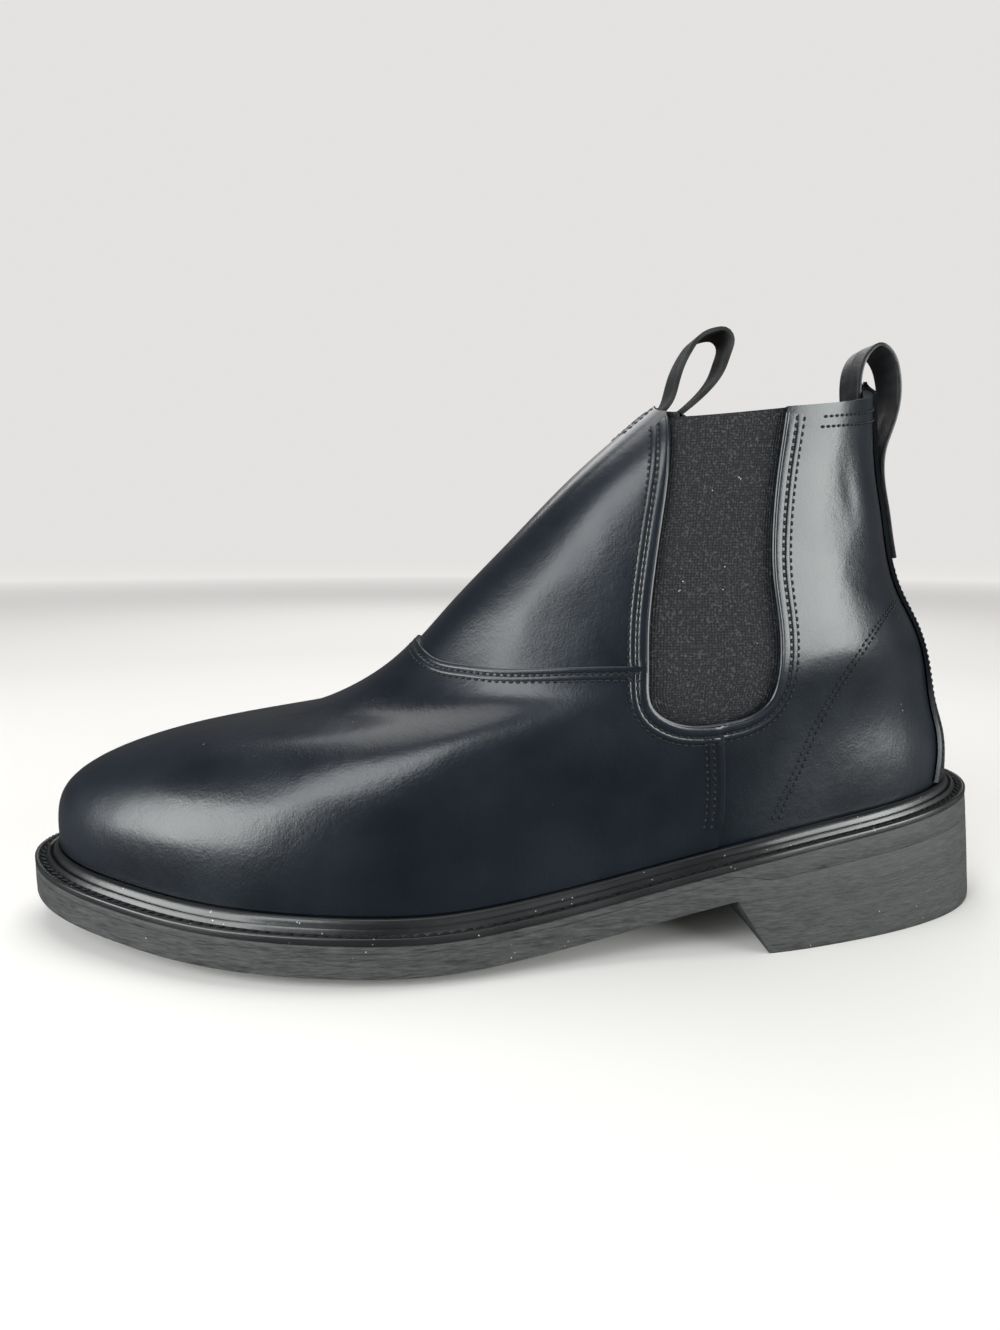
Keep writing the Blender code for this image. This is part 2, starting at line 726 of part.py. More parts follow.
def make_pull_loops():
    """The satin strap over the back seam and the ribbed webbing inside the front of the collar."""
    outside = STRIP_GAP + STRIP + SEAM_GAP + LOOP_STRAP / 2
    inside = -LEATHER - SEAM_GAP - LOOP_STRAP / 2
    behind = inside - LOOP_STRAP - SEAM_GAP
    rear = sewn_rows(REAR_SEWN_OUTSIDE, 0.0, outside)
    rear += free_rows(REAR_LOOP, sewn_rows([1.0], 0.0, 0.0)[0], REAR_LOOP_HEIGHT)
    rear += sewn_rows(REAR_SEWN_INSIDE, 0.0, inside)
    make_strap("pull_loop_rear", rear, 0.4)
    front = sewn_rows(FRONT_SEWN, math.pi, inside)
    front += free_rows(FRONT_LOOP, sewn_rows([1.0], math.pi, inside)[0], FRONT_LOOP_HEIGHT)
    front += sewn_rows(FRONT_TUCKED, math.pi, behind)
    make_strap("pull_loop_front", front, 0.8)


def clear_scene():
    for obj in list(bpy.data.objects):
        bpy.data.objects.remove(obj, do_unlink=True)


def main():
    clear_scene()
    make_outsole()
    make_welt()
    make_insole()
    make_upper()
    make_gore("gore_outer", 1)
    make_gore("gore_inner", -1)
    make_backstay()
    make_pull_loops()


main()
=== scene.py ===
# %% [markdown]
# # A left side gore work boot
# A shoemaker pulls flat pieces of leather over a wooden last and sews them together. This file
# does the same: the last is a set of named section curves, every piece starts as a flat grid, and
# each grid is wrapped over the last at its own height above the skin. It keeps every piece where
# the CAD frame has it, and lets a seam or a crease be placed once and read by all.

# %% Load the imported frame
import math
from collections import namedtuple

import bpy
import numpy as np
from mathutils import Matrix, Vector


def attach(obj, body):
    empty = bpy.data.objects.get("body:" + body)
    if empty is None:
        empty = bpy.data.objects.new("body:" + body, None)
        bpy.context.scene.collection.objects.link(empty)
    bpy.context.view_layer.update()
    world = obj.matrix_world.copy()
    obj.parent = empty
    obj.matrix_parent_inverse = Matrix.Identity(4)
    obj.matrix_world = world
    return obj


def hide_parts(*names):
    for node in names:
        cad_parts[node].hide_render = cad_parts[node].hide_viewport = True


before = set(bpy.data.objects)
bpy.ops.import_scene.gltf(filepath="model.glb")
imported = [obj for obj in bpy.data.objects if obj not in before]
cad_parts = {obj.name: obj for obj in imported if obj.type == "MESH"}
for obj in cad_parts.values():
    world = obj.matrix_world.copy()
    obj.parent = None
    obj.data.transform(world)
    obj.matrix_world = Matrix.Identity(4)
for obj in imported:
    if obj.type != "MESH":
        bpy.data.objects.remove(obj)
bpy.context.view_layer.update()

# %% [markdown]
# ## Camera
# The photograph looks at the outer side from a little above, from quite near: the lens is wide,
# so the near edge of the sole looks larger than the far one. The focal length is given in pixels
# of the 1000 by 1330 frame, which Blender's lens in millimetres follows from.

# %% Camera
MM = 0.001
SENSOR = 36.0
FRAME_HEIGHT = 1330
FOCAL_PIXELS = 850
CAMERA_PITCH = math.radians(8.1)
CAMERA_SWING = math.radians(3.26)
CAMERA_PLACE = (23.2 * MM, 275.1 * MM, 119.8 * MM)


def deselect_all():
    for obj in bpy.context.selected_objects:
        obj.select_set(False)


def make_camera():
    forward = Vector((-math.sin(CAMERA_SWING) * math.cos(CAMERA_PITCH),
                      -math.cos(CAMERA_SWING) * math.cos(CAMERA_PITCH),
                      -math.sin(CAMERA_PITCH)))
    bpy.ops.object.camera_add(location=CAMERA_PLACE)
    camera = bpy.context.object
    camera.rotation_euler = forward.to_track_quat("-Z", "Y").to_euler()
    camera.data.sensor_width = SENSOR
    camera.data.lens = SENSOR * FOCAL_PIXELS / FRAME_HEIGHT
    camera.data.clip_start = 0.01
    bpy.context.scene.camera = camera
    return camera


deselect_all()
camera = make_camera()
print("lens, mm:", round(camera.data.lens, 2))

# %% [markdown]
# ## The last
# The tables hold shares of a few driving sizes, one row for a section. A natural cubic runs
# through each column, so any height between two rows has a smooth section too. They are the same
# tables as the CAD's, worked out here with arrays so that fine grids stay quick.

# %% Driving sizes
OUTSOLE_LENGTH = 319.5 * MM
OUTSOLE_WIDTH = 118.0 * MM
RUBBER_EDGE = 9.7 * MM
WELT_EDGE = 2.0 * MM
EDGE_LIFT = 3.2 * MM
HEEL_RISE = 24.5 * MM
TOE_SPRING = 7.2 * MM
CROWN = 5.0 * MM
HEEL_BREAST_TOP = 100.5 * MM
HEEL_BREAST_RAKE = 10.5 * MM
HEEL_TAPER = 3.5 * MM
WELT_WIDTH = 8.0 * MM
UPPER_HEIGHT = 130.5 * MM
LEATHER = 2.0 * MM
VAMP_STEP = 1.0 * MM
ELASTIC = 1.4 * MM
STRIP = 1.2 * MM
SEAM_GAP = 0.3 * MM
STRIP_GAP = 0.5 * MM
COLLAR_DROP = 0.039
LEVEL_FOOT = 0.05
BOW_HEELWARD = 0.6
FEATHER_INSET = WELT_WIDTH + SEAM_GAP

# %% Section curves


def natural_spline(places, values):
    """A natural cubic through the values, read at any array of places."""
    x = np.array(places, dtype=float)
    y = np.array(values, dtype=float)
    count = len(x)
    h = np.diff(x)
    matrix = np.eye(count)
    right = np.zeros(count)
    for i in range(1, count - 1):
        matrix[i, i - 1] = h[i - 1]
        matrix[i, i] = 2 * (h[i - 1] + h[i])
        matrix[i, i + 1] = h[i]
        right[i] = 6 * ((y[i + 1] - y[i]) / h[i] - (y[i] - y[i - 1]) / h[i - 1])
    bend = np.linalg.solve(matrix, right)

    def value(place):
        place = np.asarray(place, dtype=float)
        i = np.clip(np.searchsorted(x, place) - 1, 0, count - 2)
        a = (x[i + 1] - place) / h[i]
        b = (place - x[i]) / h[i]
        curve = ((a ** 3 - a) * bend[i] + (b ** 3 - b) * bend[i + 1]) * h[i] ** 2 / 6
        return a * y[i] + b * y[i + 1] + curve

    return value


def columns_as_curves(rows, turn=None):
    """One curve for each named column, over the first column."""
    places = [row[0] if turn is None else turn(row[0]) for row in rows]
    names = rows[0]._fields[1:]
    return {name: natural_spline(places, [getattr(row, name) for row in rows]) for name in names}


def share_to_angle(share):
    return np.arccos(np.clip(1 - 2 * np.asarray(share, dtype=float), -1, 1))


def angle_to_share(angle):
    return (1 - np.cos(angle)) / 2


Plan = namedtuple("Plan", "along middle half")
PLAN = (
    Plan(0.000, -0.108, 0.000),
    Plan(0.030, -0.103, 0.205),
    Plan(0.080, -0.082, 0.290),
    Plan(0.150, -0.037, 0.330),
    Plan(0.220, 0.012, 0.339),
    Plan(0.280, 0.044, 0.342),
    Plan(0.340, 0.058, 0.342),
    Plan(0.400, 0.064, 0.347),
    Plan(0.500, 0.064, 0.392),
    Plan(0.600, 0.048, 0.461),
    Plan(0.660, 0.028, 0.490),
    Plan(0.720, 0.008, 0.494),
    Plan(0.800, -0.014, 0.459),
    Plan(0.880, -0.030, 0.371),
    Plan(0.940, -0.034, 0.272),
    Plan(0.980, -0.036, 0.160),
    Plan(1.000, -0.036, 0.000),
)
PLAN_CURVES = columns_as_curves(PLAN, share_to_angle)
PLAN_SHIFT = 0.5 * OUTSOLE_WIDTH * (
    max(row.middle + row.half for row in PLAN) + min(row.middle - row.half for row in PLAN))

Seat = namedtuple("Seat", "along heel toe")
SEAT = (
    Seat(0.00, 1.000, 0.00),
    Seat(0.14, 0.830, 0.00),
    Seat(0.28, 0.640, 0.00),
    Seat(0.35, 0.455, 0.00),
    Seat(0.42, 0.255, 0.00),
    Seat(0.50, 0.085, 0.00),
    Seat(0.58, 0.000, 0.00),
    Seat(0.66, 0.000, 0.08),
    Seat(0.74, 0.000, 0.18),
    Seat(0.82, 0.000, 0.32),
    Seat(0.90, 0.000, 0.55),
    Seat(1.00, 0.000, 1.00),
)
SEAT_CURVES = columns_as_curves(SEAT)

Ring = namedtuple("Ring", "rise back_x back_z front_x front_z back_y front_y "
                          "bow outer inner heelward square sole")
RINGS = (
    Ring(0.00, 0.0369, -0.013, 0.9740, -0.013, -0.106, -0.036, 0.130, 0.385, 0.395, -0.10, 0.00, 1.00),
    Ring(0.10, 0.0380, 0.075, 0.9730, 0.085, -0.102, -0.036, 0.130, 0.383, 0.393, -0.10, 0.00, 0.97),
    Ring(0.20, 0.0500, 0.165, 0.9430, 0.178, -0.094, -0.034, 0.125, 0.373, 0.378, -0.08, 0.06, 0.82),
    Ring(0.30, 0.0570, 0.255, 0.9100, 0.252, -0.084, -0.028, 0.110, 0.358, 0.358, -0.04, 0.10, 0.50),
    Ring(0.40, 0.0670, 0.345, 0.8330, 0.326, -0.070, -0.016, 0.090, 0.345, 0.338, 0.00, 0.08, 0.20),
    Ring(0.50, 0.0860, 0.435, 0.7290, 0.382, -0.054, 0.004, 0.068, 0.333, 0.322, 0.03, 0.08, 0.00),
    Ring(0.60, 0.1100, 0.530, 0.6370, 0.500, -0.040, 0.020, 0.048, 0.322, 0.308, 0.03, 0.14, 0.00),
    Ring(0.70, 0.1260, 0.630, 0.5750, 0.656, -0.028, 0.028, 0.030, 0.311, 0.296, 0.02, 0.22, 0.00),
    Ring(0.80, 0.1370, 0.735, 0.5120, 0.803, -0.018, 0.030, 0.016, 0.301, 0.285, 0.01, 0.32, 0.00),
    Ring(0.90, 0.1490, 0.860, 0.4470, 0.940, -0.010, 0.028, 0.006, 0.291, 0.275, 0.00, 0.40, 0.00),
    Ring(1.00, 0.1570, 1.048, 0.3710, 1.062, -0.004, 0.025, 0.000, 0.284, 0.268, 0.00, 0.44, 0.00),
)
RING_CURVES = columns_as_curves(RINGS)
print("sections:", len(RINGS), "round the foot,", len(PLAN), "along the sole")

# %% Places on the sole and on the last


def unit(vectors):
    return vectors / np.maximum(np.linalg.norm(vectors, axis=-1, keepdims=True), 1e-12)


def seat_height(x):
    share = np.clip(x / OUTSOLE_LENGTH + 0.5, 0, 1)
    rise = HEEL_RISE * SEAT_CURVES["heel"](share) + TOE_SPRING * SEAT_CURVES["toe"](share)
    return EDGE_LIFT + RUBBER_EDGE + WELT_EDGE + rise


def rubber_top(x):
    return seat_height(x) - WELT_EDGE - SEAM_GAP


def plan_points(angle, side):
    """The sole's outline on its underside: side is 1 outside and -1 inside."""
    x = OUTSOLE_LENGTH * (angle_to_share(angle) - 0.5)
    y = OUTSOLE_WIDTH * (PLAN_CURVES["middle"](angle) + side * PLAN_CURVES["half"](angle)) - PLAN_SHIFT
    return np.stack([x, y, np.zeros_like(x)], axis=-1)


def edge_points(angle, side, inset):
    """The outline of everything above the heel's foot, moved in square to itself."""
    angle = np.asarray(angle, dtype=float)
    side = np.broadcast_to(np.asarray(side, dtype=float), angle.shape)
    step = 0.01
    start = angle < step
    end = angle > np.pi - step
    before = plan_points(np.where(start, step, angle - step), np.where(start, -side, side))
    after = plan_points(np.where(end, np.pi - step, angle + step), np.where(end, -side, side))
    along = unit(after - before)
    inward = np.stack([along[..., 1], -along[..., 0], np.zeros_like(angle)], axis=-1) * side[..., None]
    taper = HEEL_TAPER * np.maximum(0, np.cos(angle)) ** 2
    return plan_points(angle, side) + inward * (inset + taper)[..., None]


def split_turn(turn):
    """The angle from heel to toe and the side, 1 outside and -1 inside, of a turn round the foot."""
    return np.where(turn <= np.pi, turn, 2 * np.pi - turn), np.where(turn <= np.pi, 1.0, -1.0)


def last_points(turn, rise):
    """Points of the last: turn runs round from the back seam, rise from feather line to collar."""
    angle, side = split_turn(np.mod(turn, 2 * np.pi))
    sine = np.maximum(0, np.sin(angle))
    rise = rise - COLLAR_DROP * np.maximum(rise, 0) ** 3 * sine ** 0.6
    ring = {name: curve(rise) for name, curve in RING_CURVES.items()}
    share = angle_to_share(angle)
    back_x = OUTSOLE_LENGTH * (ring["back_x"] - 0.5)
    front_x = OUTSOLE_LENGTH * (ring["front_x"] - 0.5)
    x = back_x + (front_x - back_x) * share
    follow = ring["sole"]
    feather = edge_points(angle, side, FEATHER_INSET)
    x = x + follow ** 3 * (feather[..., 0] - x)
    back_seat = seat_height(back_x)
    front_seat = seat_height(front_x)
    straight = back_seat + UPPER_HEIGHT * ring["back_z"]
    straight = straight + (front_seat + UPPER_HEIGHT * ring["front_z"] - straight) * share
    z = straight + follow * (seat_height(x) - back_seat - (front_seat - back_seat) * share)
    width = np.where(side > 0, ring["outer"], ring["inner"])
    half = width * (sine + 1e-12) ** (1 - ring["square"] * share ** 2)
    half = half + width * ring["heelward"] * np.sin(2 * angle)
    middle = ring["back_y"] + (ring["front_y"] - ring["back_y"]) * share
    middle = middle + ring["bow"] * sine ** 2 * (1 + BOW_HEELWARD * np.cos(angle))
    y = OUTSOLE_WIDTH * (middle + side * half) - PLAN_SHIFT
    y = y + follow * (feather[..., 1] - y)
    return np.stack([x, y, z], axis=-1)


def skin_points(turn, rise, lift):
    """Points above the last's skin by lift, and the skin's normals there."""
    turn = np.asarray(turn, dtype=float)
    rise = np.broadcast_to(np.asarray(rise, dtype=float), turn.shape)
    lift = np.broadcast_to(np.asarray(lift, dtype=float), turn.shape)
    step = 0.01
    ahead = last_points(turn + step, rise)
    behind = last_points(turn - step, rise)
    above = last_points(turn, np.minimum(1, rise + step))
    below = last_points(turn, np.maximum(0, rise - step))
    normal = unit(np.cross(above - below, ahead - behind))
    normal[..., 2] *= np.minimum(1, rise / LEVEL_FOOT)
    normal = unit(normal)
    return last_points(turn, rise) + normal * lift[..., None], normal


SETTLE_ROUNDS = 14
LONGEST_TURN = 0.15
LONGEST_RISE = 0.08


def settle(turn, rise, target, weights):
    """Slide points over the last until they lie as near as they can to their targets."""
    step = 0.002
    for _ in range(SETTLE_ROUNDS):
        along = (last_points(turn + step, rise) - last_points(turn - step, rise)) / (2 * step)
        upward = (last_points(turn, rise + step) - last_points(turn, rise - step)) / (2 * step)
        miss = (target - last_points(turn, rise)) * weights
        a = np.sum(along * along * weights, axis=-1)
        b = np.sum(along * upward * weights, axis=-1)
        c = np.sum(upward * upward * weights, axis=-1)
        f = np.sum(along * miss, axis=-1)
        g = np.sum(upward * miss, axis=-1)
        spread = a * c - b * b + 1e-10
        turn = turn + np.clip((c * f - b * g) / spread, -LONGEST_TURN, LONGEST_TURN)
        rise = np.clip(rise + np.clip((a * g - b * f) / spread, -LONGEST_RISE, LONGEST_RISE), 0, 1)
    return turn, rise


SEARCH_TURNS = np.linspace(0.08, np.pi - 0.03, 120)
SEARCH_RISES = np.linspace(0.0, 1.0, 60)


def find_on_side(x, z, side):
    """Turn and rise of the places that are seen at x, z from the outer (1) or inner (-1) side."""
    turn_net, rise_net = np.meshgrid(SEARCH_TURNS * side, SEARCH_RISES)
    net = last_points(turn_net, rise_net)
    far = [np.argmin((net[..., 0] - a) ** 2 + (net[..., 2] - b) ** 2) for a, b in zip(x, z)]
    target = np.stack([x, np.zeros_like(x), z], axis=-1)
    return settle(turn_net.ravel()[far], rise_net.ravel()[far], target, np.array([1.0, 0.0, 1.0]))


def beside(turn, rise, distance):
    """The same path, moved sideways over the leather by a distance."""
    path, normal = skin_points(turn, rise, 0.0)
    across = np.cross(normal, unit(np.gradient(path, axis=0)))
    return settle(turn, rise, path + across * distance, np.ones(3))


def distance_run(path):
    """How far along a path each of its points lies."""
    return np.concatenate([[0], np.cumsum(np.linalg.norm(np.diff(path, axis=0), axis=1))])


def along_curve(points, count):
    """Evenly spaced points on a smooth curve through a few given ones."""
    points = np.asarray(points, dtype=float)
    run = distance_run(points)
    places = np.linspace(0, run[-1], count)
    return np.stack([natural_spline(run, column)(places) for column in points.T], axis=1)


heel_point = last_points(np.array([0.0]), np.array([1.0]))[0]
print("back of the collar, mm:", np.round(heel_point / MM, 1))

# %% [markdown]
# ## Tools for pieces
# A piece starts as Blender's own grid, and a place function moves its points: u runs across the
# grid and v up it. Solidify then gives the piece its thickness, inwards from the face that shows.

# %% Tools for pieces
TUBE_SIDES = 3
SAME_POINT = 0.02 * MM


def make_active(obj):
    deselect_all()
    obj.select_set(True)
    bpy.context.view_layer.objects.active = obj


def wrap_grid(name, columns, rows, place):
    """A grid whose points lie at place(u, v)."""
    deselect_all()
    bpy.ops.mesh.primitive_grid_add(x_subdivisions=columns, y_subdivisions=rows, size=2)
    obj = bpy.context.object
    obj.name = name
    flat = np.empty(3 * len(obj.data.vertices))
    obj.data.vertices.foreach_get("co", flat)
    flat = flat.reshape(-1, 3)
    points = place((flat[:, 0] + 1) / 2, (flat[:, 1] + 1) / 2)
    obj.data.vertices.foreach_set("co", np.ascontiguousarray(points).ravel())
    obj.data.update()
    return obj


def apply_modifier(obj, kind, **settings):
    make_active(obj)
    modifier = obj.modifiers.new(kind.title(), kind)
    for name, value in settings.items():
        setattr(modifier, name, value)
    bpy.ops.object.modifier_apply(modifier=modifier.name)


def edit_whole_mesh(obj, operator, **settings):
    """Run one mesh operator on all of a piece."""
    make_active(obj)
    bpy.ops.object.mode_set(mode="EDIT")
    bpy.ops.mesh.select_all(action="SELECT")
    operator(**settings)
    bpy.ops.object.mode_set(mode="OBJECT")


def merge_doubles(obj, distance):
    edit_whole_mesh(obj, bpy.ops.mesh.remove_doubles, threshold=distance)


def face_outwards(obj):
    edit_whole_mesh(obj, bpy.ops.mesh.normals_make_consistent, inside=False)


def join_objects(objects, name):
    deselect_all()
    for obj in objects:
        obj.select_set(True)
    bpy.context.view_layer.objects.active = objects[0]
    bpy.ops.object.join()
    joined = bpy.context.object
    joined.name = name
    return joined


def give_materials(obj, *materials):
    for material in materials:
        obj.data.materials.append(material)


def finish_piece(obj, material=None, smooth_angle=35, replaces=()):
    """Give a piece its finish, unless it has one, and tie it to the frame."""
    if material:
        obj.data.materials.clear()
        give_materials(obj, material)
    make_active(obj)
    bpy.ops.object.shade_smooth_by_angle(angle=math.radians(smooth_angle))
    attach(obj, "root")
    if replaces:
        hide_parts(*replaces)
    triangles = sum(len(polygon.vertices) - 2 for polygon in obj.data.polygons)
    print(obj.name, "triangles:", triangles)


def side_cutter(name, outline, y_from, y_to):
    """A solid whose outline is seen from the side, drawn out across the foot."""
    deselect_all()
    bpy.ops.mesh.primitive_circle_add(vertices=len(outline), fill_type="NGON")
    obj = bpy.context.object
    obj.name = name
    for vertex, (x, z) in zip(obj.data.vertices, outline):
        vertex.co = (x, y_from, z)
    edit_whole_mesh(obj, bpy.ops.mesh.extrude_region_move,
                    TRANSFORM_OT_translate={"value": (0, y_to - y_from, 0)})
    face_outwards(obj)
    return obj


def cut_with(obj, cutter, operation):
    apply_modifier(obj, "BOOLEAN", operation=operation, solver="EXACT", object=cutter)
    bpy.data.objects.remove(cutter, do_unlink=True)


def tube(name, path, radius):
    """A round cord through the points, made a mesh."""
    curve = bpy.data.curves.new(name, "CURVE")
    curve.dimensions = "3D"
    curve.bevel_depth = radius
    curve.bevel_resolution = TUBE_SIDES
    curve.use_fill_caps = True
    spline = curve.splines.new("POLY")
    spline.points.add(len(path) - 1)
    for point, place in zip(spline.points, path):
        point.co = (*place, 1)
    obj = bpy.data.objects.new(name, curve)
    bpy.context.scene.collection.objects.link(obj)
    make_active(obj)
    bpy.ops.object.convert(target="MESH")
    return bpy.context.object


print("tools ready")

# %% [markdown]
# ## Finishes
# Node groups hold what several finishes share: fine grain, dust, ribs and buffing marks. Each
# but the ribs reads Object coordinates in metres, so a scale of 1000 makes features about a
# millimetre wide; the ribs read the piece's own UV.
# The groups give out masks and heights only, and the shader stays in each material.

# %% Node tools


def add_node(tree, kind, **inputs):
    node = tree.nodes.new(kind)
    for name, value in inputs.items():
        node.inputs[name].default_value = value
    return node


def new_group(name, inputs, outputs):
    """A group with float inputs {name: value} and the named float outputs."""
    tree = bpy.data.node_groups.new(name, "ShaderNodeTree")
    for label, value in inputs.items():
        socket = tree.interface.new_socket(name=label, in_out="INPUT", socket_type="NodeSocketFloat")
        socket.default_value = value
    for label in outputs:
        tree.interface.new_socket(name=label, in_out="OUTPUT", socket_type="NodeSocketFloat")
    return tree, tree.nodes.new("NodeGroupInput"), tree.nodes.new("NodeGroupOutput")


def use_group(tree, group, **inputs):
    node = tree.nodes.new("ShaderNodeGroup")
    node.node_tree = group
    for name, value in inputs.items():
        node.inputs[name].default_value = value
    return node


def calculate(tree, operation, first, second=None):
    """A Math node: each of its two places takes a number or an output."""
    node = tree.nodes.new("ShaderNodeMath")
    node.operation = operation
    for place, value in enumerate((first, second)):
        if value is None:
            continue
        if isinstance(value, (int, float)):
            node.inputs[place].default_value = value
        else:
            tree.links.new(value, node.inputs[place])
    return node.outputs[0]


def stretched(tree, scale=(1, 1, 1)):
    """Object coordinates in metres, scaled by a triple."""
    place = tree.nodes.new("ShaderNodeTexCoord")
    mapping = add_node(tree, "ShaderNodeMapping", Scale=scale)
    tree.links.new(place.outputs["Object"], mapping.inputs["Vector"])
    return mapping.outputs["Vector"]


def noise(tree, vector, scale, detail=2.0, roughness=0.5):
    node = add_node(tree, "ShaderNodeTexNoise", Scale=scale, Detail=detail, Roughness=roughness)
    tree.links.new(vector, node.inputs["Vector"])
    return node.outputs["Fac"]


def ramp(tree, value, low, high, out_low=0.0, out_high=1.0):
    """Map a value from low..high to out_low..out_high, and hold it inside."""
    node = add_node(tree, "ShaderNodeMapRange", **{
        "From Min": low, "From Max": high, "To Min": out_low, "To Max": out_high})
    tree.links.new(value, node.inputs["Value"])
    return node.outputs["Result"]


def blend_colours(tree, factor, first, second):
    node = tree.nodes.new("ShaderNodeMix")
    node.data_type = "RGBA"
    for place, value in ((6, first), (7, second)):
        if isinstance(value, tuple):
            node.inputs[place].default_value = (*value, 1)
        else:
            tree.links.new(value, node.inputs[place])
    tree.links.new(factor, node.inputs[0])
    return node.outputs[2]


# %% Shared effects


def grain_group():
    """Fine leather grain: tiny cells with a soft fold between them, and broad mottling."""
    tree, start, end = new_group("leather_grain", {"Fineness": 1500.0}, ("Height", "Mottle"))
    place = stretched(tree)
    cell = tree.nodes.new("ShaderNodeTexVoronoi")
    cell.feature = "SMOOTH_F1"
    tree.links.new(place, cell.inputs["Vector"])
    tree.links.new(start.outputs["Fineness"], cell.inputs["Scale"])
    soft = noise(tree, place, 420, 3)
    height = calculate(tree, "ADD", calculate(tree, "MULTIPLY", cell.outputs["Distance"], 0.5), soft)
    tree.links.new(height, end.inputs["Height"])
    tree.links.new(noise(tree, place, 38, 3), end.inputs["Mottle"])
    return tree


def dust_group():
    """White specks of lint: a few cells keep a small bright core."""
    tree, start, end = new_group("dust_specks", {"Density": 0.5}, ("Mask",))
    place = stretched(tree)
    cell = add_node(tree, "ShaderNodeTexVoronoi", Scale=700)
    tree.links.new(place, cell.inputs["Vector"])
    core = calculate(tree, "LESS_THAN", cell.outputs["Distance"], 0.13)
    patch = noise(tree, place, 160, 1)
    limit = calculate(tree, "SUBTRACT", 0.80, calculate(tree, "MULTIPLY", start.outputs["Density"], 0.2))
    kept = calculate(tree, "GREATER_THAN", patch, limit)
    tree.links.new(calculate(tree, "MULTIPLY", core, kept), end.inputs["Mask"])
    return tree


def rib_group():
    """Woven ribs on the piece's own UV: fine ribs along it and a weave across them, and a colour
    mask of painted shade, dark in the hollows and pale only where both crests rise.
    """
    tree, start, end = new_group("woven_ribs_with_painted_shade", {"Ribs": 20.0, "Picks": 60.0}, ("Height", "Mask"))
    place = tree.nodes.new("ShaderNodeTexCoord")
    split = tree.nodes.new("ShaderNodeSeparateXYZ")
    tree.links.new(place.outputs["UV"], split.inputs["Vector"])
    waves = []
    for axis, count in (("X", "Ribs"), ("Y", "Picks")):
        turns = calculate(tree, "MULTIPLY", split.outputs[axis], start.outputs[count])
        wave = calculate(tree, "SINE", calculate(tree, "MULTIPLY", turns, 2 * math.pi))
        waves.append(calculate(tree, "MULTIPLY", calculate(tree, "ADD", wave, 1.0), 0.5))
    height = calculate(tree, "ADD", waves[0], calculate(tree, "MULTIPLY", waves[1], 0.6))
    tree.links.new(height, end.inputs["Height"])
    # Painted shade: the colour mask is pale only where both crests rise, so the hollows of the weave come
    # out darker.
    tree.links.new(calculate(tree, "MULTIPLY", waves[0], waves[1]), end.inputs["Mask"])
    return tree


def buffing_group():
    """Marks of a rasp that ran along the sole's edge: lines long in x and y, short in z."""
    tree, start, end = new_group("buffing_marks", {"Coarseness": 1.0}, ("Height", "Streak"))
    fine = noise(tree, stretched(tree, (260, 260, 2300)), 1.0, 3, 0.65)
    broad = noise(tree, stretched(tree, (120, 120, 900)), 1.0, 2, 0.5)
    grit = noise(tree, stretched(tree), 1900, 2)
    height = calculate(tree, "ADD", fine, calculate(tree, "MULTIPLY", grit, 0.5))
    height = calculate(tree, "MULTIPLY", height, start.outputs["Coarseness"])
    tree.links.new(height, end.inputs["Height"])
    tree.links.new(calculate(tree, "ADD", calculate(tree, "MULTIPLY", broad, 0.35),
                             calculate(tree, "MULTIPLY", fine, 0.65)), end.inputs["Streak"])
    return tree


GRAIN = grain_group()
DUST = dust_group()
RIBS_WITH_PAINTED_SHADE = rib_group()
BUFFING = buffing_group()
print("node groups:", [group.name for group in bpy.data.node_groups])

# %% Materials
DUST_COLOUR = (0.42, 0.42, 0.40)


def new_material(name, roughness, coat=0.0, coat_roughness=0.2, specular=0.5):
    material = bpy.data.materials.new(name)
    material.use_nodes = True
    shader = material.node_tree.nodes["Principled BSDF"]
    shader.inputs["Roughness"].default_value = roughness
    shader.inputs["Coat Weight"].default_value = coat
    shader.inputs["Coat Roughness"].default_value = coat_roughness
    shader.inputs["Specular IOR Level"].default_value = specular
    return material, material.node_tree, shader


def add_bump(tree, shader, height, distance, strength=1.0):
    bump = add_node(tree, "ShaderNodeBump", Strength=strength, Distance=distance)
    tree.links.new(height, bump.inputs["Height"])
    tree.links.new(bump.outputs["Normal"], shader.inputs["Normal"])


def paint(tree, shader, colour, dust=0.0):
    """Send a colour to the shader, with lint over it where a density is given."""
    if dust:
        specks = use_group(tree, DUST, Density=dust)
        colour = blend_colours(tree, specks.outputs["Mask"], colour, DUST_COLOUR)
    tree.links.new(colour, shader.inputs["Base Color"])


def polished_leather():
    material, tree, shader = new_material("polished_leather", 0.32, coat=0.3, specular=0.42)
    grain = use_group(tree, GRAIN, Fineness=1500.0)
    mottle = grain.outputs["Mottle"]
    colour = blend_colours(tree, ramp(tree, mottle, 0.35, 0.65),
                           (0.0028, 0.0052, 0.0092), (0.0052, 0.0088, 0.0146))
    paint(tree, shader, colour, dust=0.25)
    tree.links.new(ramp(tree, mottle, 0.3, 0.7, 0.27, 0.37), shader.inputs["Roughness"])
    unevenness = noise(tree, stretched(tree), 60)
    height = calculate(tree, "ADD", grain.outputs["Height"], calculate(tree, "MULTIPLY", unevenness, 4.0))
    add_bump(tree, shader, height, 0.12 * MM, 0.6)
    return material


def speckled(name, roughness, specular, colour_scale, dark, pale, bump_scale, depth, strength):
    """Two colours mixed by one noise, and a bump from a finer one."""
    material, tree, shader = new_material(name, roughness, specular=specular)
    place = stretched(tree)
    paint(tree, shader, blend_colours(tree, noise(tree, place, colour_scale), dark, pale))
    add_bump(tree, shader, noise(tree, place, bump_scale), depth, strength)
    return material


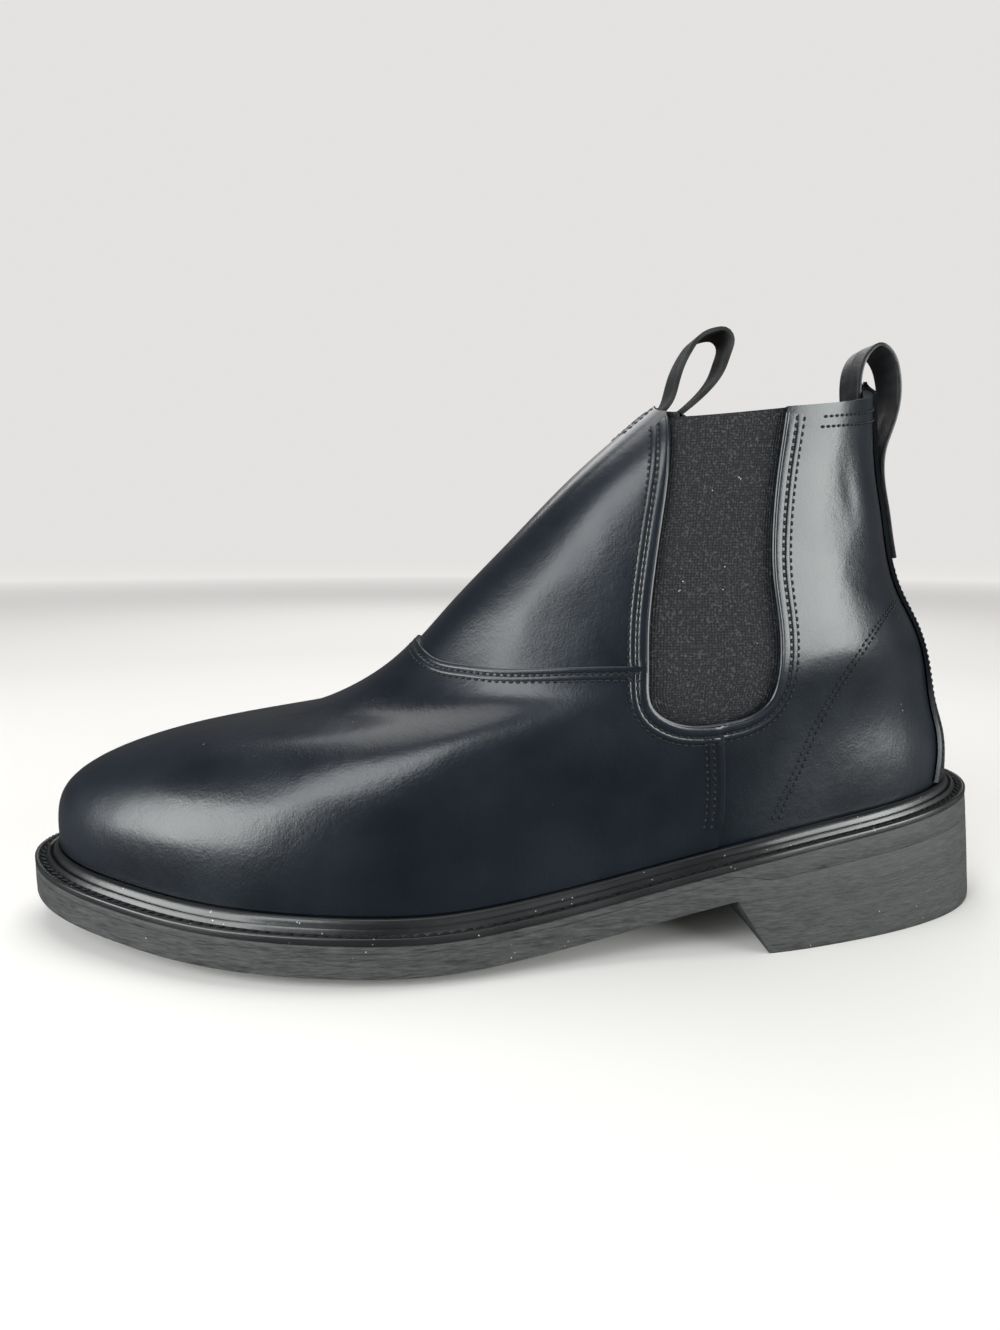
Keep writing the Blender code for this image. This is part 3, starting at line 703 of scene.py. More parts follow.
def woven(name, roughness, specular, ribs, picks, dark, pale, depth, strength, fleck=None):
    """Ribs on the piece's own UV, coloured with painted shade that darkens their hollows, and flecks
    with lint where a fleck colour is given.
    """
    material, tree, shader = new_material(name, roughness, specular=specular)
    weave = use_group(tree, RIBS_WITH_PAINTED_SHADE, Ribs=ribs, Picks=picks)
    # Painted shade from the rib group's mask: dark in the hollows of the weave, pale on its crests.
    colour = blend_colours(tree, weave.outputs["Mask"], dark, pale)
    if fleck:
        spots = ramp(tree, noise(tree, stretched(tree), 1500), 0.52, 0.72)
        colour = blend_colours(tree, spots, colour, fleck)
    paint(tree, shader, colour, dust=0.45 if fleck else 0.0)
    add_bump(tree, shader, weave.outputs["Height"], depth, strength)
    return material


def buffed_rubber():
    material, tree, shader = new_material("buffed_rubber", 0.7, specular=0.4)
    marks = use_group(tree, BUFFING, Coarseness=1.0)
    streak = marks.outputs["Streak"]
    place = tree.nodes.new("ShaderNodeSeparateXYZ")
    tree.links.new(stretched(tree), place.inputs["Vector"])
    colour = blend_colours(tree, ramp(tree, streak, 0.34, 0.66),
                           (0.016, 0.017, 0.018), (0.070, 0.072, 0.072))
    heelward = ramp(tree, place.outputs["X"], -0.05, -0.16, 0.0, 0.30)
    paint(tree, shader, blend_colours(tree, heelward, colour, (0.060, 0.063, 0.056)), dust=0.4)
    tree.links.new(ramp(tree, streak, 0.3, 0.7, 0.55, 0.78), shader.inputs["Roughness"])
    add_bump(tree, shader, marks.outputs["Height"], 0.25 * MM, 0.55)
    return material


def moulded_welt():
    material, tree, shader = new_material("moulded_welt", 0.3, coat=0.3, coat_roughness=0.18)
    grain = use_group(tree, GRAIN, Fineness=1100.0)
    mottle = grain.outputs["Mottle"]
    colour = blend_colours(tree, mottle, (0.0050, 0.0058, 0.0066), (0.0105, 0.0112, 0.0122))
    paint(tree, shader, colour, dust=0.9)
    tree.links.new(ramp(tree, mottle, 0.3, 0.7, 0.28, 0.46), shader.inputs["Roughness"])
    add_bump(tree, shader, grain.outputs["Height"], 0.12 * MM, 0.4)
    return material


def rough_channel():
    material, tree, shader = new_material("rough_channel", 0.8, specular=0.3)
    torn = noise(tree, stretched(tree), 900, 4, 0.7)
    mask = ramp(tree, torn, 0.42, 0.68)
    paint(tree, shader, blend_colours(tree, mask, (0.0030, 0.0034, 0.0040), (0.040, 0.042, 0.044)))
    add_bump(tree, shader, torn, 0.8 * MM, 0.9)
    return material


def insole_leather():
    material, tree, shader = new_material("insole_leather", 0.8)
    grain = use_group(tree, GRAIN, Fineness=900.0)
    mottle = grain.outputs["Mottle"]
    paint(tree, shader, blend_colours(tree, mottle, (0.055, 0.043, 0.032), (0.105, 0.082, 0.060)))
    add_bump(tree, shader, grain.outputs["Height"], 0.2 * MM, 0.4)
    return material


LEATHER_FINISH = polished_leather()
LINING_FINISH = speckled("lining_cloth", 0.85, 0.5, 900, (0.020, 0.019, 0.018), (0.045, 0.043, 0.040),
                         1600, 0.2 * MM, 0.5)
THREAD_FINISH = speckled("waxed_thread", 0.55, 0.3, 700, (0.0022, 0.0026, 0.0034), (0.012, 0.013, 0.015),
                         3200, 0.12 * MM, 0.6)
KNIT_FINISH = woven("elastic_knit", 0.88, 0.25, 52.0, 130.0, (0.0105, 0.0112, 0.0125),
                    (0.027, 0.028, 0.031), 0.22 * MM, 0.6, fleck=(0.058, 0.060, 0.064))
RIBBED_FINISH = woven("ribbed_webbing", 0.7, 0.35, 46.0, 14.0, (0.0085, 0.0088, 0.0095),
                      (0.034, 0.035, 0.037), 0.35 * MM, 0.8)
SATIN_FINISH = woven("satin_webbing", 0.38, 0.5, 90.0, 26.0, (0.010, 0.011, 0.013),
                     (0.022, 0.023, 0.026), 0.12 * MM, 0.45)
RUBBER_FINISH = buffed_rubber()
WELT_FINISH = moulded_welt()
CHANNEL_FINISH = rough_channel()
INSOLE_FINISH = insole_leather()
print("materials:", len(bpy.data.materials))

# %% [markdown]
# ## Seam lines
# The gore's opening and the vamp's rear edge are drawn once, as seen from the side, in shares of
# the gore's own size. Everything that follows an edge, such as its stitch rows, is moved sideways
# from these lines over the leather.

# %% Seam lines
GORE_MIDDLE = -51.5 * MM
GORE_FOOT = 68.8 * MM
GORE_WIDTH = 38.5 * MM
GORE_HEIGHT = 93.5 * MM
GORE_CUT_FROM = 16.0 * MM

Gore = namedtuple("Gore", "up front rear")
GORE = (
    Gore(0.000, 0.23, -0.10),
    Gore(0.020, 0.37, -0.31),
    Gore(0.065, 0.49, -0.45),
    Gore(0.140, 0.51, -0.50),
    Gore(0.290, 0.50, -0.50),
    Gore(0.440, 0.46, -0.45),
    Gore(0.600, 0.40, -0.44),
    Gore(0.760, 0.34, -0.47),
    Gore(0.940, 0.31, -0.52),
    Gore(1.150, 0.30, -0.55),
)
Edge = namedtuple("Edge", "ahead up")
VAMP_EDGE = (
    Edge(2.600, 0.360),
    Edge(2.240, 0.235),
    Edge(2.090, 0.185),
    Edge(1.850, 0.168),
    Edge(1.600, 0.163),
    Edge(1.280, 0.168),
    Edge(0.960, 0.176),
    Edge(0.560, 0.180),
    Edge(0.530, 0.100),
    Edge(0.430, 0.020),
    Edge(0.300, -0.020),
    Edge(-0.070, -0.030),
    Edge(-0.110, -0.150),
    Edge(-0.130, -0.260),
    Edge(-0.090, -0.420),
    Edge(-0.080, -1.000),
)
VAMP_CORNER = 7
SIDE_SEAM_TOP = 11


GORE_LINE_POINTS = 160


def from_gore(ahead, up):
    """x and z of a place that is given in shares of the gore's size."""
    return GORE_MIDDLE + ahead * GORE_WIDTH, GORE_FOOT + up * GORE_HEIGHT


def gore_outline():
    """The opening's outline from the front top, round the foot, to the rear top."""
    front = [from_gore(row.front, row.up) for row in GORE]
    rear = [from_gore(row.rear, row.up) for row in GORE]
    return along_curve(front[::-1] + rear, GORE_LINE_POINTS)


def vamp_line(start, end, count):
    """Part of the vamp's edge, as x and z."""
    return along_curve([from_gore(row.ahead, row.up) for row in VAMP_EDGE[start:end + 1]], count)


gore_line = gore_outline()
print("gore opening, mm wide:", round((gore_line[:, 0].max() - gore_line[:, 0].min()) / MM, 1))

# %% [markdown]
# ## The upper
# The leather is smooth and nearly new. What breaks its gloss is shallow: a soft vertical fold and
# two dents on the quarter behind the gore, slanting wrinkles above the heel, and a faint wave
# across the instep. Each is one row of a table: the line it follows seen from the side, how wide
# it is and how deep.

# %% Creases
CREASE_FROM_MIDDLE = 8 * MM
Crease = namedtuple("Crease", "x_from z_from x_to z_to width depth side")
CREASES = (
    Crease(-93, 143, -97, 128, 3.0, 0.30, 1),
    Crease(-90, 140, -93, 122, 7.0, 0.50, 1),
    Crease(-100, 138, -103, 118, 8.0, -0.35, 1),
    Crease(-98, 116, -114, 108, 2.6, 0.28, 1),
    Crease(-96, 111, -112, 103, 2.8, 0.22, 1),
    Crease(-99, 121, -113, 114, 3.0, 0.18, 1),
    Crease(-33, 128, -20, 118, 9.0, 0.35, 1),
    Crease(-18, 104, 2, 96, 10.0, 0.30, 1),
    Crease(28, 74, 44, 58, 9.0, 0.25, 1),
    Crease(20, 70, 34, 50, 9.0, -0.20, 1),
    Crease(-93, 140, -96, 120, 6.0, 0.40, -1),
    Crease(-98, 114, -113, 106, 2.8, 0.22, -1),
    Crease(28, 72, 42, 56, 9.0, 0.25, -1),
)


def crease_relief(points):
    """How far the creases move each point of the leather, in metres."""
    relief = np.zeros(len(points))
    for crease in CREASES:
        start = np.array([crease.x_from, crease.z_from]) * MM
        line = np.array([crease.x_to, crease.z_to]) * MM - start
        offset = points[:, [0, 2]] - start
        share = np.clip(offset @ line / (line @ line), 0, 1)
        far = np.linalg.norm(offset - share[:, None] * line, axis=1)
        taper = 0.35 + 0.65 * np.sin(np.pi * (0.1 + 0.8 * share))
        fade = np.exp(-(far / (crease.width * MM)) ** 2) * taper
        relief -= crease.depth * MM * fade * (points[:, 1] * crease.side > CREASE_FROM_MIDDLE)
    return relief


def wrap_leather(u, v, lift):
    turn = 2 * np.pi * (1 - u)
    face, normal = skin_points(turn, v, lift)
    return face + normal * crease_relief(face)[:, None]


# %% Quarters and front panel
UPPER_COLUMNS = 300
UPPER_ROWS = 110


def make_quarters():
    """The whole leather tube with an opening for each gore."""
    obj = wrap_grid("quarters", UPPER_COLUMNS, UPPER_ROWS, lambda u, v: wrap_leather(u, v, 0.0))
    merge_doubles(obj, SAME_POINT)
    give_materials(obj, LEATHER_FINISH, LINING_FINISH)
    apply_modifier(obj, "SOLIDIFY", thickness=LEATHER, offset=-1, material_offset=1)
    outline = [tuple(point) for point in gore_line]
    outer = side_cutter("outer_opening", outline, GORE_CUT_FROM, OUTSOLE_WIDTH)
    inner = side_cutter("inner_opening", outline, -OUTSOLE_WIDTH, -GORE_CUT_FROM)
    cut_with(obj, join_objects([outer, inner], "openings"), "DIFFERENCE")
    finish_piece(obj, replaces=("upper",))


make_quarters()

# %% Vamp
VAMP_ROWS = 80
VAMP_RISE = (0.04, 0.74)


def make_vamp():
    """The front piece, which laps over the quarters by its own thickness."""
    low, high = VAMP_RISE
    obj = wrap_grid("vamp", UPPER_COLUMNS, VAMP_ROWS,
                    lambda u, v: wrap_leather(u, low + (high - low) * v, VAMP_STEP))
    merge_doubles(obj, SAME_POINT)
    apply_modifier(obj, "SOLIDIFY", thickness=1.5 * VAMP_STEP, offset=-1)
    upper_edge = vamp_line(0, VAMP_CORNER, 60)
    under_gore = vamp_line(VAMP_CORNER, SIDE_SEAM_TOP, 24)[1:]
    side_seam = vamp_line(SIDE_SEAM_TOP, len(VAMP_EDGE) - 1, 24)[1:]
    beyond = 0.6 * OUTSOLE_LENGTH
    corners = [(beyond, side_seam[-1][1]), (beyond, upper_edge[0][1])]
    outline = [tuple(p) for p in np.concatenate([upper_edge, under_gore, side_seam, corners])]
    cut_with(obj, side_cutter("vamp_region", outline, -OUTSOLE_WIDTH, OUTSOLE_WIDTH), "INTERSECT")
    finish_piece(obj, LEATHER_FINISH)


make_vamp()

# %% [markdown]
# ## Gores
# Each gore is a strong elastic knit with fine upright ribs, set behind the opening. The leather's
# edge is folded round it, and that roll catches the light, so it gets a cord of its own.

# %% Gores
GORE_MARGIN = 6.0 * MM
GORE_ROLL = 0.6 * MM
GORE_CURVES = columns_as_curves(GORE)
KNIT_FROM = -0.05
KNIT_SPAN = 1.09


def make_gore(name, node, side):
    """A knit panel as wide as the opening and its seam margins."""
    def place(u, v):
        up = KNIT_FROM + KNIT_SPAN * v
        row = np.maximum(up, 0.0)
        rear = GORE_CURVES["rear"](row) * GORE_WIDTH - GORE_MARGIN
        front = GORE_CURVES["front"](row) * GORE_WIDTH + 0.6 * GORE_MARGIN
        along = u if side < 0 else 1 - u
        x = GORE_MIDDLE + rear + (front - rear) * along
        turn, rise = find_on_side(x, GORE_FOOT + up * GORE_HEIGHT, side)
        return skin_points(turn, rise, -LEATHER - SEAM_GAP)[0]

    obj = wrap_grid(name, 26, 60, place)
    apply_modifier(obj, "SOLIDIFY", thickness=ELASTIC, offset=-1)
    finish_piece(obj, KNIT_FINISH, replaces=(node,))


def gore_path(side, distance):
    """The opening's outline on the leather, moved outwards by a distance."""
    turn, rise = find_on_side(gore_line[:, 0], gore_line[:, 1], side)
    keep = rise < 0.998
    return beside(turn[keep], rise[keep], -distance * side)


def make_gore_roll(name, side):
    turn, rise = gore_path(side, 0.35 * MM)
    path = skin_points(turn, rise, -0.6 * GORE_ROLL)[0]
    finish_piece(tube(name, path, GORE_ROLL), LEATHER_FINISH)


make_gore("knit_outer", "gore_outer", 1)
make_gore("knit_inner", "gore_inner", -1)
make_gore_roll("gore_roll_outer", 1)
make_gore_roll("gore_roll_inner", -1)

# %% [markdown]
# ## Back strip and pull loops
# The back strip covers the seam, and widens towards the sole. The rear loop is a satin strap sewn
# over it, up over the collar and down inside. The front loop is ribbed webbing inside the collar.
# A loop's side view is a short table of bends, in shares of its height.

# %% Back strip
STRIP_HALF = 10.0 * MM
STRIP_FLARE_HALF = 26.0 * MM
STRIP_FOOT = 0.045
STRIP_FLARE_RISE = 0.45
HALVINGS = 30


def turns_at(rise, distance, seam):
    """Turn of each place that lies this far from a seam: 0 is the back, pi the front."""
    direction = np.sign(distance) * math.cos(seam)
    start = last_points(np.full_like(rise, seam), rise)
    low = np.zeros_like(rise)
    high = np.full_like(rise, 0.5 * np.pi)
    for _ in range(HALVINGS):
        middle = (low + high) / 2
        far = np.linalg.norm(last_points(seam + direction * middle, rise) - start, axis=-1)
        near = far < np.abs(distance)
        low = np.where(near, middle, low)
        high = np.where(near, high, middle)
    return seam + direction * low


def strip_half(rise):
    """Half the strip's width at a height."""
    flare = np.maximum(0, 1 - rise / STRIP_FLARE_RISE)
    return STRIP_HALF + (STRIP_FLARE_HALF - STRIP_HALF) * flare ** 1.3


def strip_place(u, v):
    rise = STRIP_FOOT + (1 - STRIP_FOOT) * v
    turn = turns_at(rise, strip_half(rise) * (1 - 2 * u), 0.0)
    return skin_points(turn, rise, STRIP_GAP + STRIP)[0]


back_strip = wrap_grid("back_strip", 24, 90, strip_place)
apply_modifier(back_strip, "SOLIDIFY", thickness=STRIP, offset=-1)
finish_piece(back_strip, LEATHER_FINISH, replaces=("backstay",))

# %% Pull loops
LOOP_WIDTH = 15.4 * MM
LOOP_STRAP = 1.3 * MM
REAR_LOOP_HEIGHT = 12.0 * MM
FRONT_LOOP_HEIGHT = 27.0 * MM
Bend = namedtuple("Bend", "back up curl")
REAR_LOOP = (
    Bend(0.52, -1.45, 1.0),
    Bend(0.66, -1.00, 0.8),
    Bend(0.78, -0.40, 0.5),
    Bend(0.70, 0.22, 0.2),
    Bend(0.46, 0.66, 0.0),
    Bend(0.16, 0.84, 0.0),
    Bend(-0.14, 0.70, 0.3),
    Bend(-0.28, 0.34, 0.7),
)
FRONT_LOOP = (
    Bend(0.13, 0.15, 1.0),
    Bend(0.18, 0.34, 0.8),
    Bend(0.22, 0.52, 0.5),
    Bend(0.29, 0.68, 0.2),
    Bend(0.40, 0.82, 0.0),
    Bend(0.55, 0.88, 0.0),
    Bend(0.67, 0.88, 0.0),
    Bend(0.74, 0.80, 0.0),
    Bend(0.73, 0.65, 0.2),
    Bend(0.68, 0.47, 0.5),
    Bend(0.54, 0.27, 0.8),
    Bend(0.34, 0.09, 1.0),
)
REAR_SEWN_OUTSIDE = (0.68, 0.74, 0.80, 0.86)
REAR_SEWN_INSIDE = (0.96, 0.91, 0.86)
FRONT_SEWN = (0.86, 0.91, 0.96, 1.00)
FRONT_TUCKED = (0.93, 0.89, 0.85)
STRAP_ROWS = 120
LOOP_SHARES = np.linspace(-1, 1, 9)
OUTSIDE_LIFT = STRIP_GAP + STRIP + SEAM_GAP + LOOP_STRAP / 2
INSIDE_LIFT = -LEATHER - SEAM_GAP - LOOP_STRAP / 2


def sewn_rows(rises, seam, lift):
    """Rows of points across a strap that lies on the wall."""
    rows = []
    for rise in rises:
        level = np.full(len(LOOP_SHARES), rise)
        turn = turns_at(level, LOOP_SHARES * LOOP_WIDTH / 2, seam)
        rows.append(skin_points(turn, level, lift)[0])
    return rows


def free_rows(bends, collar_row, height):
    """Rows of points across a strap where it stands free."""
    collar = collar_row[len(collar_row) // 2]
    rows = []
    for bend in bends:
        centre = collar + height * np.array([-bend.back, 0.0, bend.up])
        straight = np.zeros((len(LOOP_SHARES), 3))
        straight[:, 1] = LOOP_SHARES * LOOP_WIDTH / 2
        rows.append(centre + straight + bend.curl * (collar_row - collar - straight))
    return rows


def make_strap(name, rows, finish, node):
    """A strap through rows of points across it."""
    rows = np.array(rows)
    columns = len(LOOP_SHARES) - 1
    net = np.stack([along_curve(rows[:, j], STRAP_ROWS + 1) for j in range(columns + 1)], axis=1)

    def place(u, v):
        return net[np.round(v * STRAP_ROWS).astype(int), np.round(u * columns).astype(int)]

    obj = wrap_grid(name, columns, STRAP_ROWS, place)
    apply_modifier(obj, "SOLIDIFY", thickness=LOOP_STRAP, offset=0)
    apply_modifier(obj, "BEVEL", width=0.3 * MM, segments=2, limit_method="ANGLE", angle_limit=1.0)
    face_outwards(obj)
    finish_piece(obj, finish, replaces=(node,))


rear_rows = sewn_rows(REAR_SEWN_OUTSIDE, 0.0, OUTSIDE_LIFT)
rear_rows += free_rows(REAR_LOOP, sewn_rows([1.0], 0.0, 0.0)[0], REAR_LOOP_HEIGHT)
rear_rows += sewn_rows(REAR_SEWN_INSIDE, 0.0, INSIDE_LIFT)
make_strap("rear_loop", rear_rows, SATIN_FINISH, "pull_loop_rear")
front_rows = sewn_rows(FRONT_SEWN, math.pi, INSIDE_LIFT)
front_rows += free_rows(FRONT_LOOP, sewn_rows([1.0], math.pi, INSIDE_LIFT)[0], FRONT_LOOP_HEIGHT)
front_rows += sewn_rows(FRONT_TUCKED, math.pi, INSIDE_LIFT - LOOP_STRAP - SEAM_GAP)
make_strap("front_loop", front_rows, RIBBED_FINISH, "pull_loop_front")

# %% [markdown]
# ## Stitches
# The seams are sewn in double rows of short, close stitches in black waxed thread. One stitch is
# a small ball pulled long. It is copied along each path with numpy, and every row is joined into
# one mesh, because hundreds of separate objects would be slow.

# %% Stitch rows
bpy.ops.mesh.primitive_uv_sphere_add(segments=6, ring_count=4, radius=1)
seed = bpy.context.object
SEED_POINTS = np.array([tuple(vertex.co) for vertex in seed.data.vertices])
SEED_FACES = [tuple(polygon.vertices) for polygon in seed.data.polygons]
bpy.data.objects.remove(seed, do_unlink=True)


def sew(name, path, normals, pitch, length, width, lean=0.0):
    """Stitches along a path; lean turns each one aside, in radians."""
    run = distance_run(path)
    count = max(2, int(run[-1] / pitch))
    places = (np.arange(count) + 0.5) * run[-1] / count

    def read(values, where):
        return np.stack([np.interp(where, run, values[:, i]) for i in range(3)], axis=1)

    centre = read(path, places)
    along = unit(read(path, places + 0.4 * pitch) - read(path, places - 0.4 * pitch))
    normal = unit(read(normals, places))
    across = np.cross(normal, along)
    leaning = along * math.cos(lean) + across * math.sin(lean)
    across = np.cross(normal, leaning)
    size = np.array([length, width, 0.8 * width]) / 2
    shape = SEED_POINTS * size
    points = (centre[:, None] + leaning[:, None] * shape[None, :, 0:1]
              + across[:, None] * shape[None, :, 1:2] + normal[:, None] * shape[None, :, 2:3])
    faces = [tuple(index + i * len(shape) for index in face) for i in range(count) for face in SEED_FACES]
    mesh = bpy.data.meshes.new(name)
    mesh.from_pydata(points.reshape(-1, 3).tolist(), [], faces)
    obj = bpy.data.objects.new(name, mesh)
    bpy.context.scene.collection.objects.link(obj)
    return obj


STITCH_PITCH = 2.1 * MM
STITCH_LENGTH = 1.5 * MM
STITCH_WIDTH = 0.9 * MM
PAD_HEIGHT = 0.26 * MM
PAD_COLUMNS = 8
Seam = namedtuple("Seam", "rows pads")
VAMP_SEAM = Seam(rows=(2.0, 4.1), pads=((0.9, 1.7), (3.05, 1.7)))
GORE_SEAM = Seam(rows=(3.2, 5.6), pads=((1.6, 2.6), (4.4, 1.9)))
SIDE_SEAM = Seam(rows=(3.4, 5.6), pads=((1.2, 2.6), (4.5, 1.7)))
SIDE_SEAM_FOOT = 36 * MM
INSTEP_GAP = 0.12
rows = []
pads = []


def sew_on_last(name, turn, rise, lift):
    path, normals = skin_points(turn, rise, lift)
    return sew(name, path, normals, STITCH_PITCH, STITCH_LENGTH, STITCH_WIDTH)


def seam_pad(turn, rise, width, lift):
    """The leather's swelling beside a row of stitches: a low rounded ribbon along a path."""
    path, normals = skin_points(turn, rise, lift)
    across = np.cross(normals, unit(np.gradient(path, axis=0)))

    def place(u, v):
        row = np.round(v * (len(path) - 1)).astype(int)
        share = 2 * u - 1
        bulge = np.sqrt(np.maximum(0, 1 - share ** 2)) - 0.15
        end = np.minimum(1, np.minimum(v, 1 - v) * len(path) / 3)
        return (path[row] + across[row] * (share * width / 2)[:, None]
                + normals[row] * (PAD_HEIGHT * bulge * end)[:, None])

    return wrap_grid("seam_pad", PAD_COLUMNS, len(path) - 1, place)


def leather_top(turn, rise):
    """The lift of the leather that shows: the vamp's step where it lies over the quarters."""
    place = last_points(turn, rise)
    edge_x, edge_z = from_gore(VAMP_EDGE[-1].ahead, VAMP_EDGE[VAMP_CORNER].up)
    ahead = (place[:, 0] - edge_x) / MM
    under = (edge_z - place[:, 2]) / MM
    return VAMP_STEP * np.clip(np.minimum(ahead, under), 0, 1)


def on_vamp(turn, rise):
    """The lift where the whole path lies on the vamp."""
    return VAMP_STEP


def vamp_seam():
    """The vamp's upper edge from the outer side over the instep to the inner side."""
    line = vamp_line(0, VAMP_CORNER, 90)
    outer_turn, outer_rise = find_on_side(line[:, 0], line[:, 1], 1)
    keep = outer_turn < np.pi - INSTEP_GAP
    outer_turn = outer_turn[keep][::-1]
    outer_rise = outer_rise[keep][::-1]
    turn = np.concatenate([outer_turn, 2 * np.pi - outer_turn[::-1]])
    rise = np.concatenate([outer_rise, outer_rise[::-1]])
    return turn, rise


def sew_seam(seam, path_at, lift_at):
    """Stitch rows and the swellings between them; path_at gives the path at a distance."""
    for distance in seam.rows:
        turn, rise = path_at(distance * MM)
        rows.append(sew_on_last("seam_row", turn, rise, lift_at(turn, rise)))
    for distance, width in seam.pads:
        turn, rise = path_at(distance * MM)
        pads.append(seam_pad(turn, rise, width * MM, lift_at(turn, rise)))


seam_turn, seam_rise = vamp_seam()
side_line = vamp_line(SIDE_SEAM_TOP, len(VAMP_EDGE) - 2, 40)
side_line = side_line[side_line[:, 1] > SIDE_SEAM_FOOT]
sew_seam(VAMP_SEAM, lambda far: beside(seam_turn, seam_rise, far), on_vamp)
for side in (1, -1):
    sew_seam(GORE_SEAM, lambda far: gore_path(side, far), leather_top)
    sew_seam(SIDE_SEAM, lambda far: find_on_side(side_line[:, 0] + far, side_line[:, 1], side), on_vamp)
finish_piece(join_objects(rows, "seam_stitches"), THREAD_FINISH, smooth_angle=60)
finish_piece(join_objects(pads, "seam_pads"), LEATHER_FINISH, smooth_angle=60)

# %% Counter, collar and strip rows
COUNTER = ((-119.0, 102.0), (-109.5, 96.5), (-101.0, 88.5), (-94.0, 79.0), (-90.0, 72.0),
           (-85.0, 62.0), (-81.0, 52.0), (-77.0, 44.0), (-74.5, 37.5))
COUNTER_ROWS = (0.0, 2.2 * MM)
COLLAR_DROPS = (0.018, 0.032)
COLLAR_TURNS = np.linspace(0.24, 1.24, 70)
STRIP_RISES = np.linspace(0.06, 0.66, 80)
STRIP_ROW_INSET = 2.0 * MM
THREAD_LIFT = 0.1 * MM
counter_line = along_curve([(x * MM, z * MM) for x, z in COUNTER], 90)
rows = []
for side in (1, -1):
    for distance in COUNTER_ROWS:
        turn, rise = find_on_side(counter_line[:, 0] + distance, counter_line[:, 1], side)
        rows.append(sew_on_last("counter_row", turn, rise, THREAD_LIFT))
    for drop in COLLAR_DROPS:
        rise = np.full_like(COLLAR_TURNS, 1 - drop)
        rows.append(sew_on_last("collar_row", COLLAR_TURNS * side, rise, THREAD_LIFT))
    turn = turns_at(STRIP_RISES, (strip_half(STRIP_RISES) - STRIP_ROW_INSET) * side, 0.0)
    rows.append(sew_on_last("strip_row", turn, STRIP_RISES, STRIP_GAP + STRIP))
finish_piece(join_objects(rows, "quarter_stitches"), THREAD_FINISH, smooth_angle=60)

# %% [markdown]
# ## Storm welt
# The welt is a rubber strip that is sewn to the sole all round. From its outer edge inwards it
# has a narrow lip, a rough channel with slanting lock stitches, a thin bright ridge, a dark
# groove, and a rolled bead that keeps water out against the upper. It is one section, swept
# round the outline. At the toe and the heel the lip is notched like a file.

# %% Storm welt
Section = namedtuple("Section", "inset height")
WELT_SECTION = (
    Section(0.000, 0.00),
    Section(0.000, 0.70),
    Section(0.020, 0.90),
    Section(0.060, 0.98),
    Section(0.130, 0.98),
    Section(0.165, 0.78),
    Section(0.200, 0.58),
    Section(0.370, 0.58),
    Section(0.410, 0.80),
    Section(0.440, 1.22),
    Section(0.490, 1.46),
    Section(0.540, 1.44),
    Section(0.580, 1.16),
    Section(0.610, 0.92),
    Section(0.640, 1.04),
    Section(0.680, 1.66),
    Section(0.740, 2.14),
    Section(0.830, 2.40),
    Section(0.920, 2.32),
    Section(0.990, 1.96),
    Section(1.030, 1.50),
    Section(1.030, 0.00),
)
CHANNEL_FROM = 4
CHANNEL_TO = 8
LIP_FROM = 1
LIP_TO = 6
WELT_COLUMNS = 1600
OUTLINE_SAMPLES = 4000
NOTCH_PITCH = 1.9 * MM
NOTCH_DEPTH = 0.40 * MM
NOTCHES_FROM = 0.43
NOTCHES_FADE = 0.03


def outline_turns(count):
    """Turns evenly spaced round the sole's outline, and the length of the outline."""
    turn = np.linspace(0, 2 * np.pi, OUTLINE_SAMPLES + 1)
    run = distance_run(edge_points(*split_turn(turn), 0.0))
    return np.interp(np.linspace(0, run[-1], count + 1), run, turn), run[-1]


welt_turns, outline_length = outline_turns(WELT_COLUMNS)


def welt_place(u, v):
    column = np.round(u * WELT_COLUMNS).astype(int)
    row = np.round(v * (len(WELT_SECTION) - 1)).astype(int)
    inset = np.array([section.inset for section in WELT_SECTION])[row] * WELT_WIDTH
    height = np.array([section.height for section in WELT_SECTION])[row] * WELT_EDGE
    angle, side = split_turn(welt_turns[column])
    place = edge_points(angle, side, inset)
    from_middle = np.abs(angle_to_share(angle) - 0.5)
    zone = np.clip((from_middle - NOTCHES_FROM) / NOTCHES_FADE, 0, 1)
    wave = 0.5 - 0.5 * np.cos(2 * np.pi * u * outline_length / NOTCH_PITCH)
    lip = ((row > LIP_FROM) & (row < LIP_TO)).astype(float)
    height = height - NOTCH_DEPTH * zone * wave ** 2 * lip
    place[:, 2] = rubber_top(place[:, 0]) + SEAM_GAP + height
    return place


welt = wrap_grid("storm_welt", WELT_COLUMNS, len(WELT_SECTION) - 1, welt_place)
give_materials(welt, WELT_FINISH, CHANNEL_FINISH)
for polygon in welt.data.polygons:
    polygon.material_index = int(CHANNEL_FROM <= polygon.index // WELT_COLUMNS < CHANNEL_TO)
merge_doubles(welt, SAME_POINT)
make_active(welt)
bpy.ops.object.mode_set(mode="EDIT")
bpy.ops.mesh.select_all(action="DESELECT")
bpy.ops.mesh.select_mode(type="EDGE")
bpy.ops.mesh.select_non_manifold()
bpy.ops.mesh.bridge_edge_loops()
bpy.ops.object.mode_set(mode="OBJECT")
face_outwards(welt)
finish_piece(welt, smooth_angle=50, replaces=("welt",))

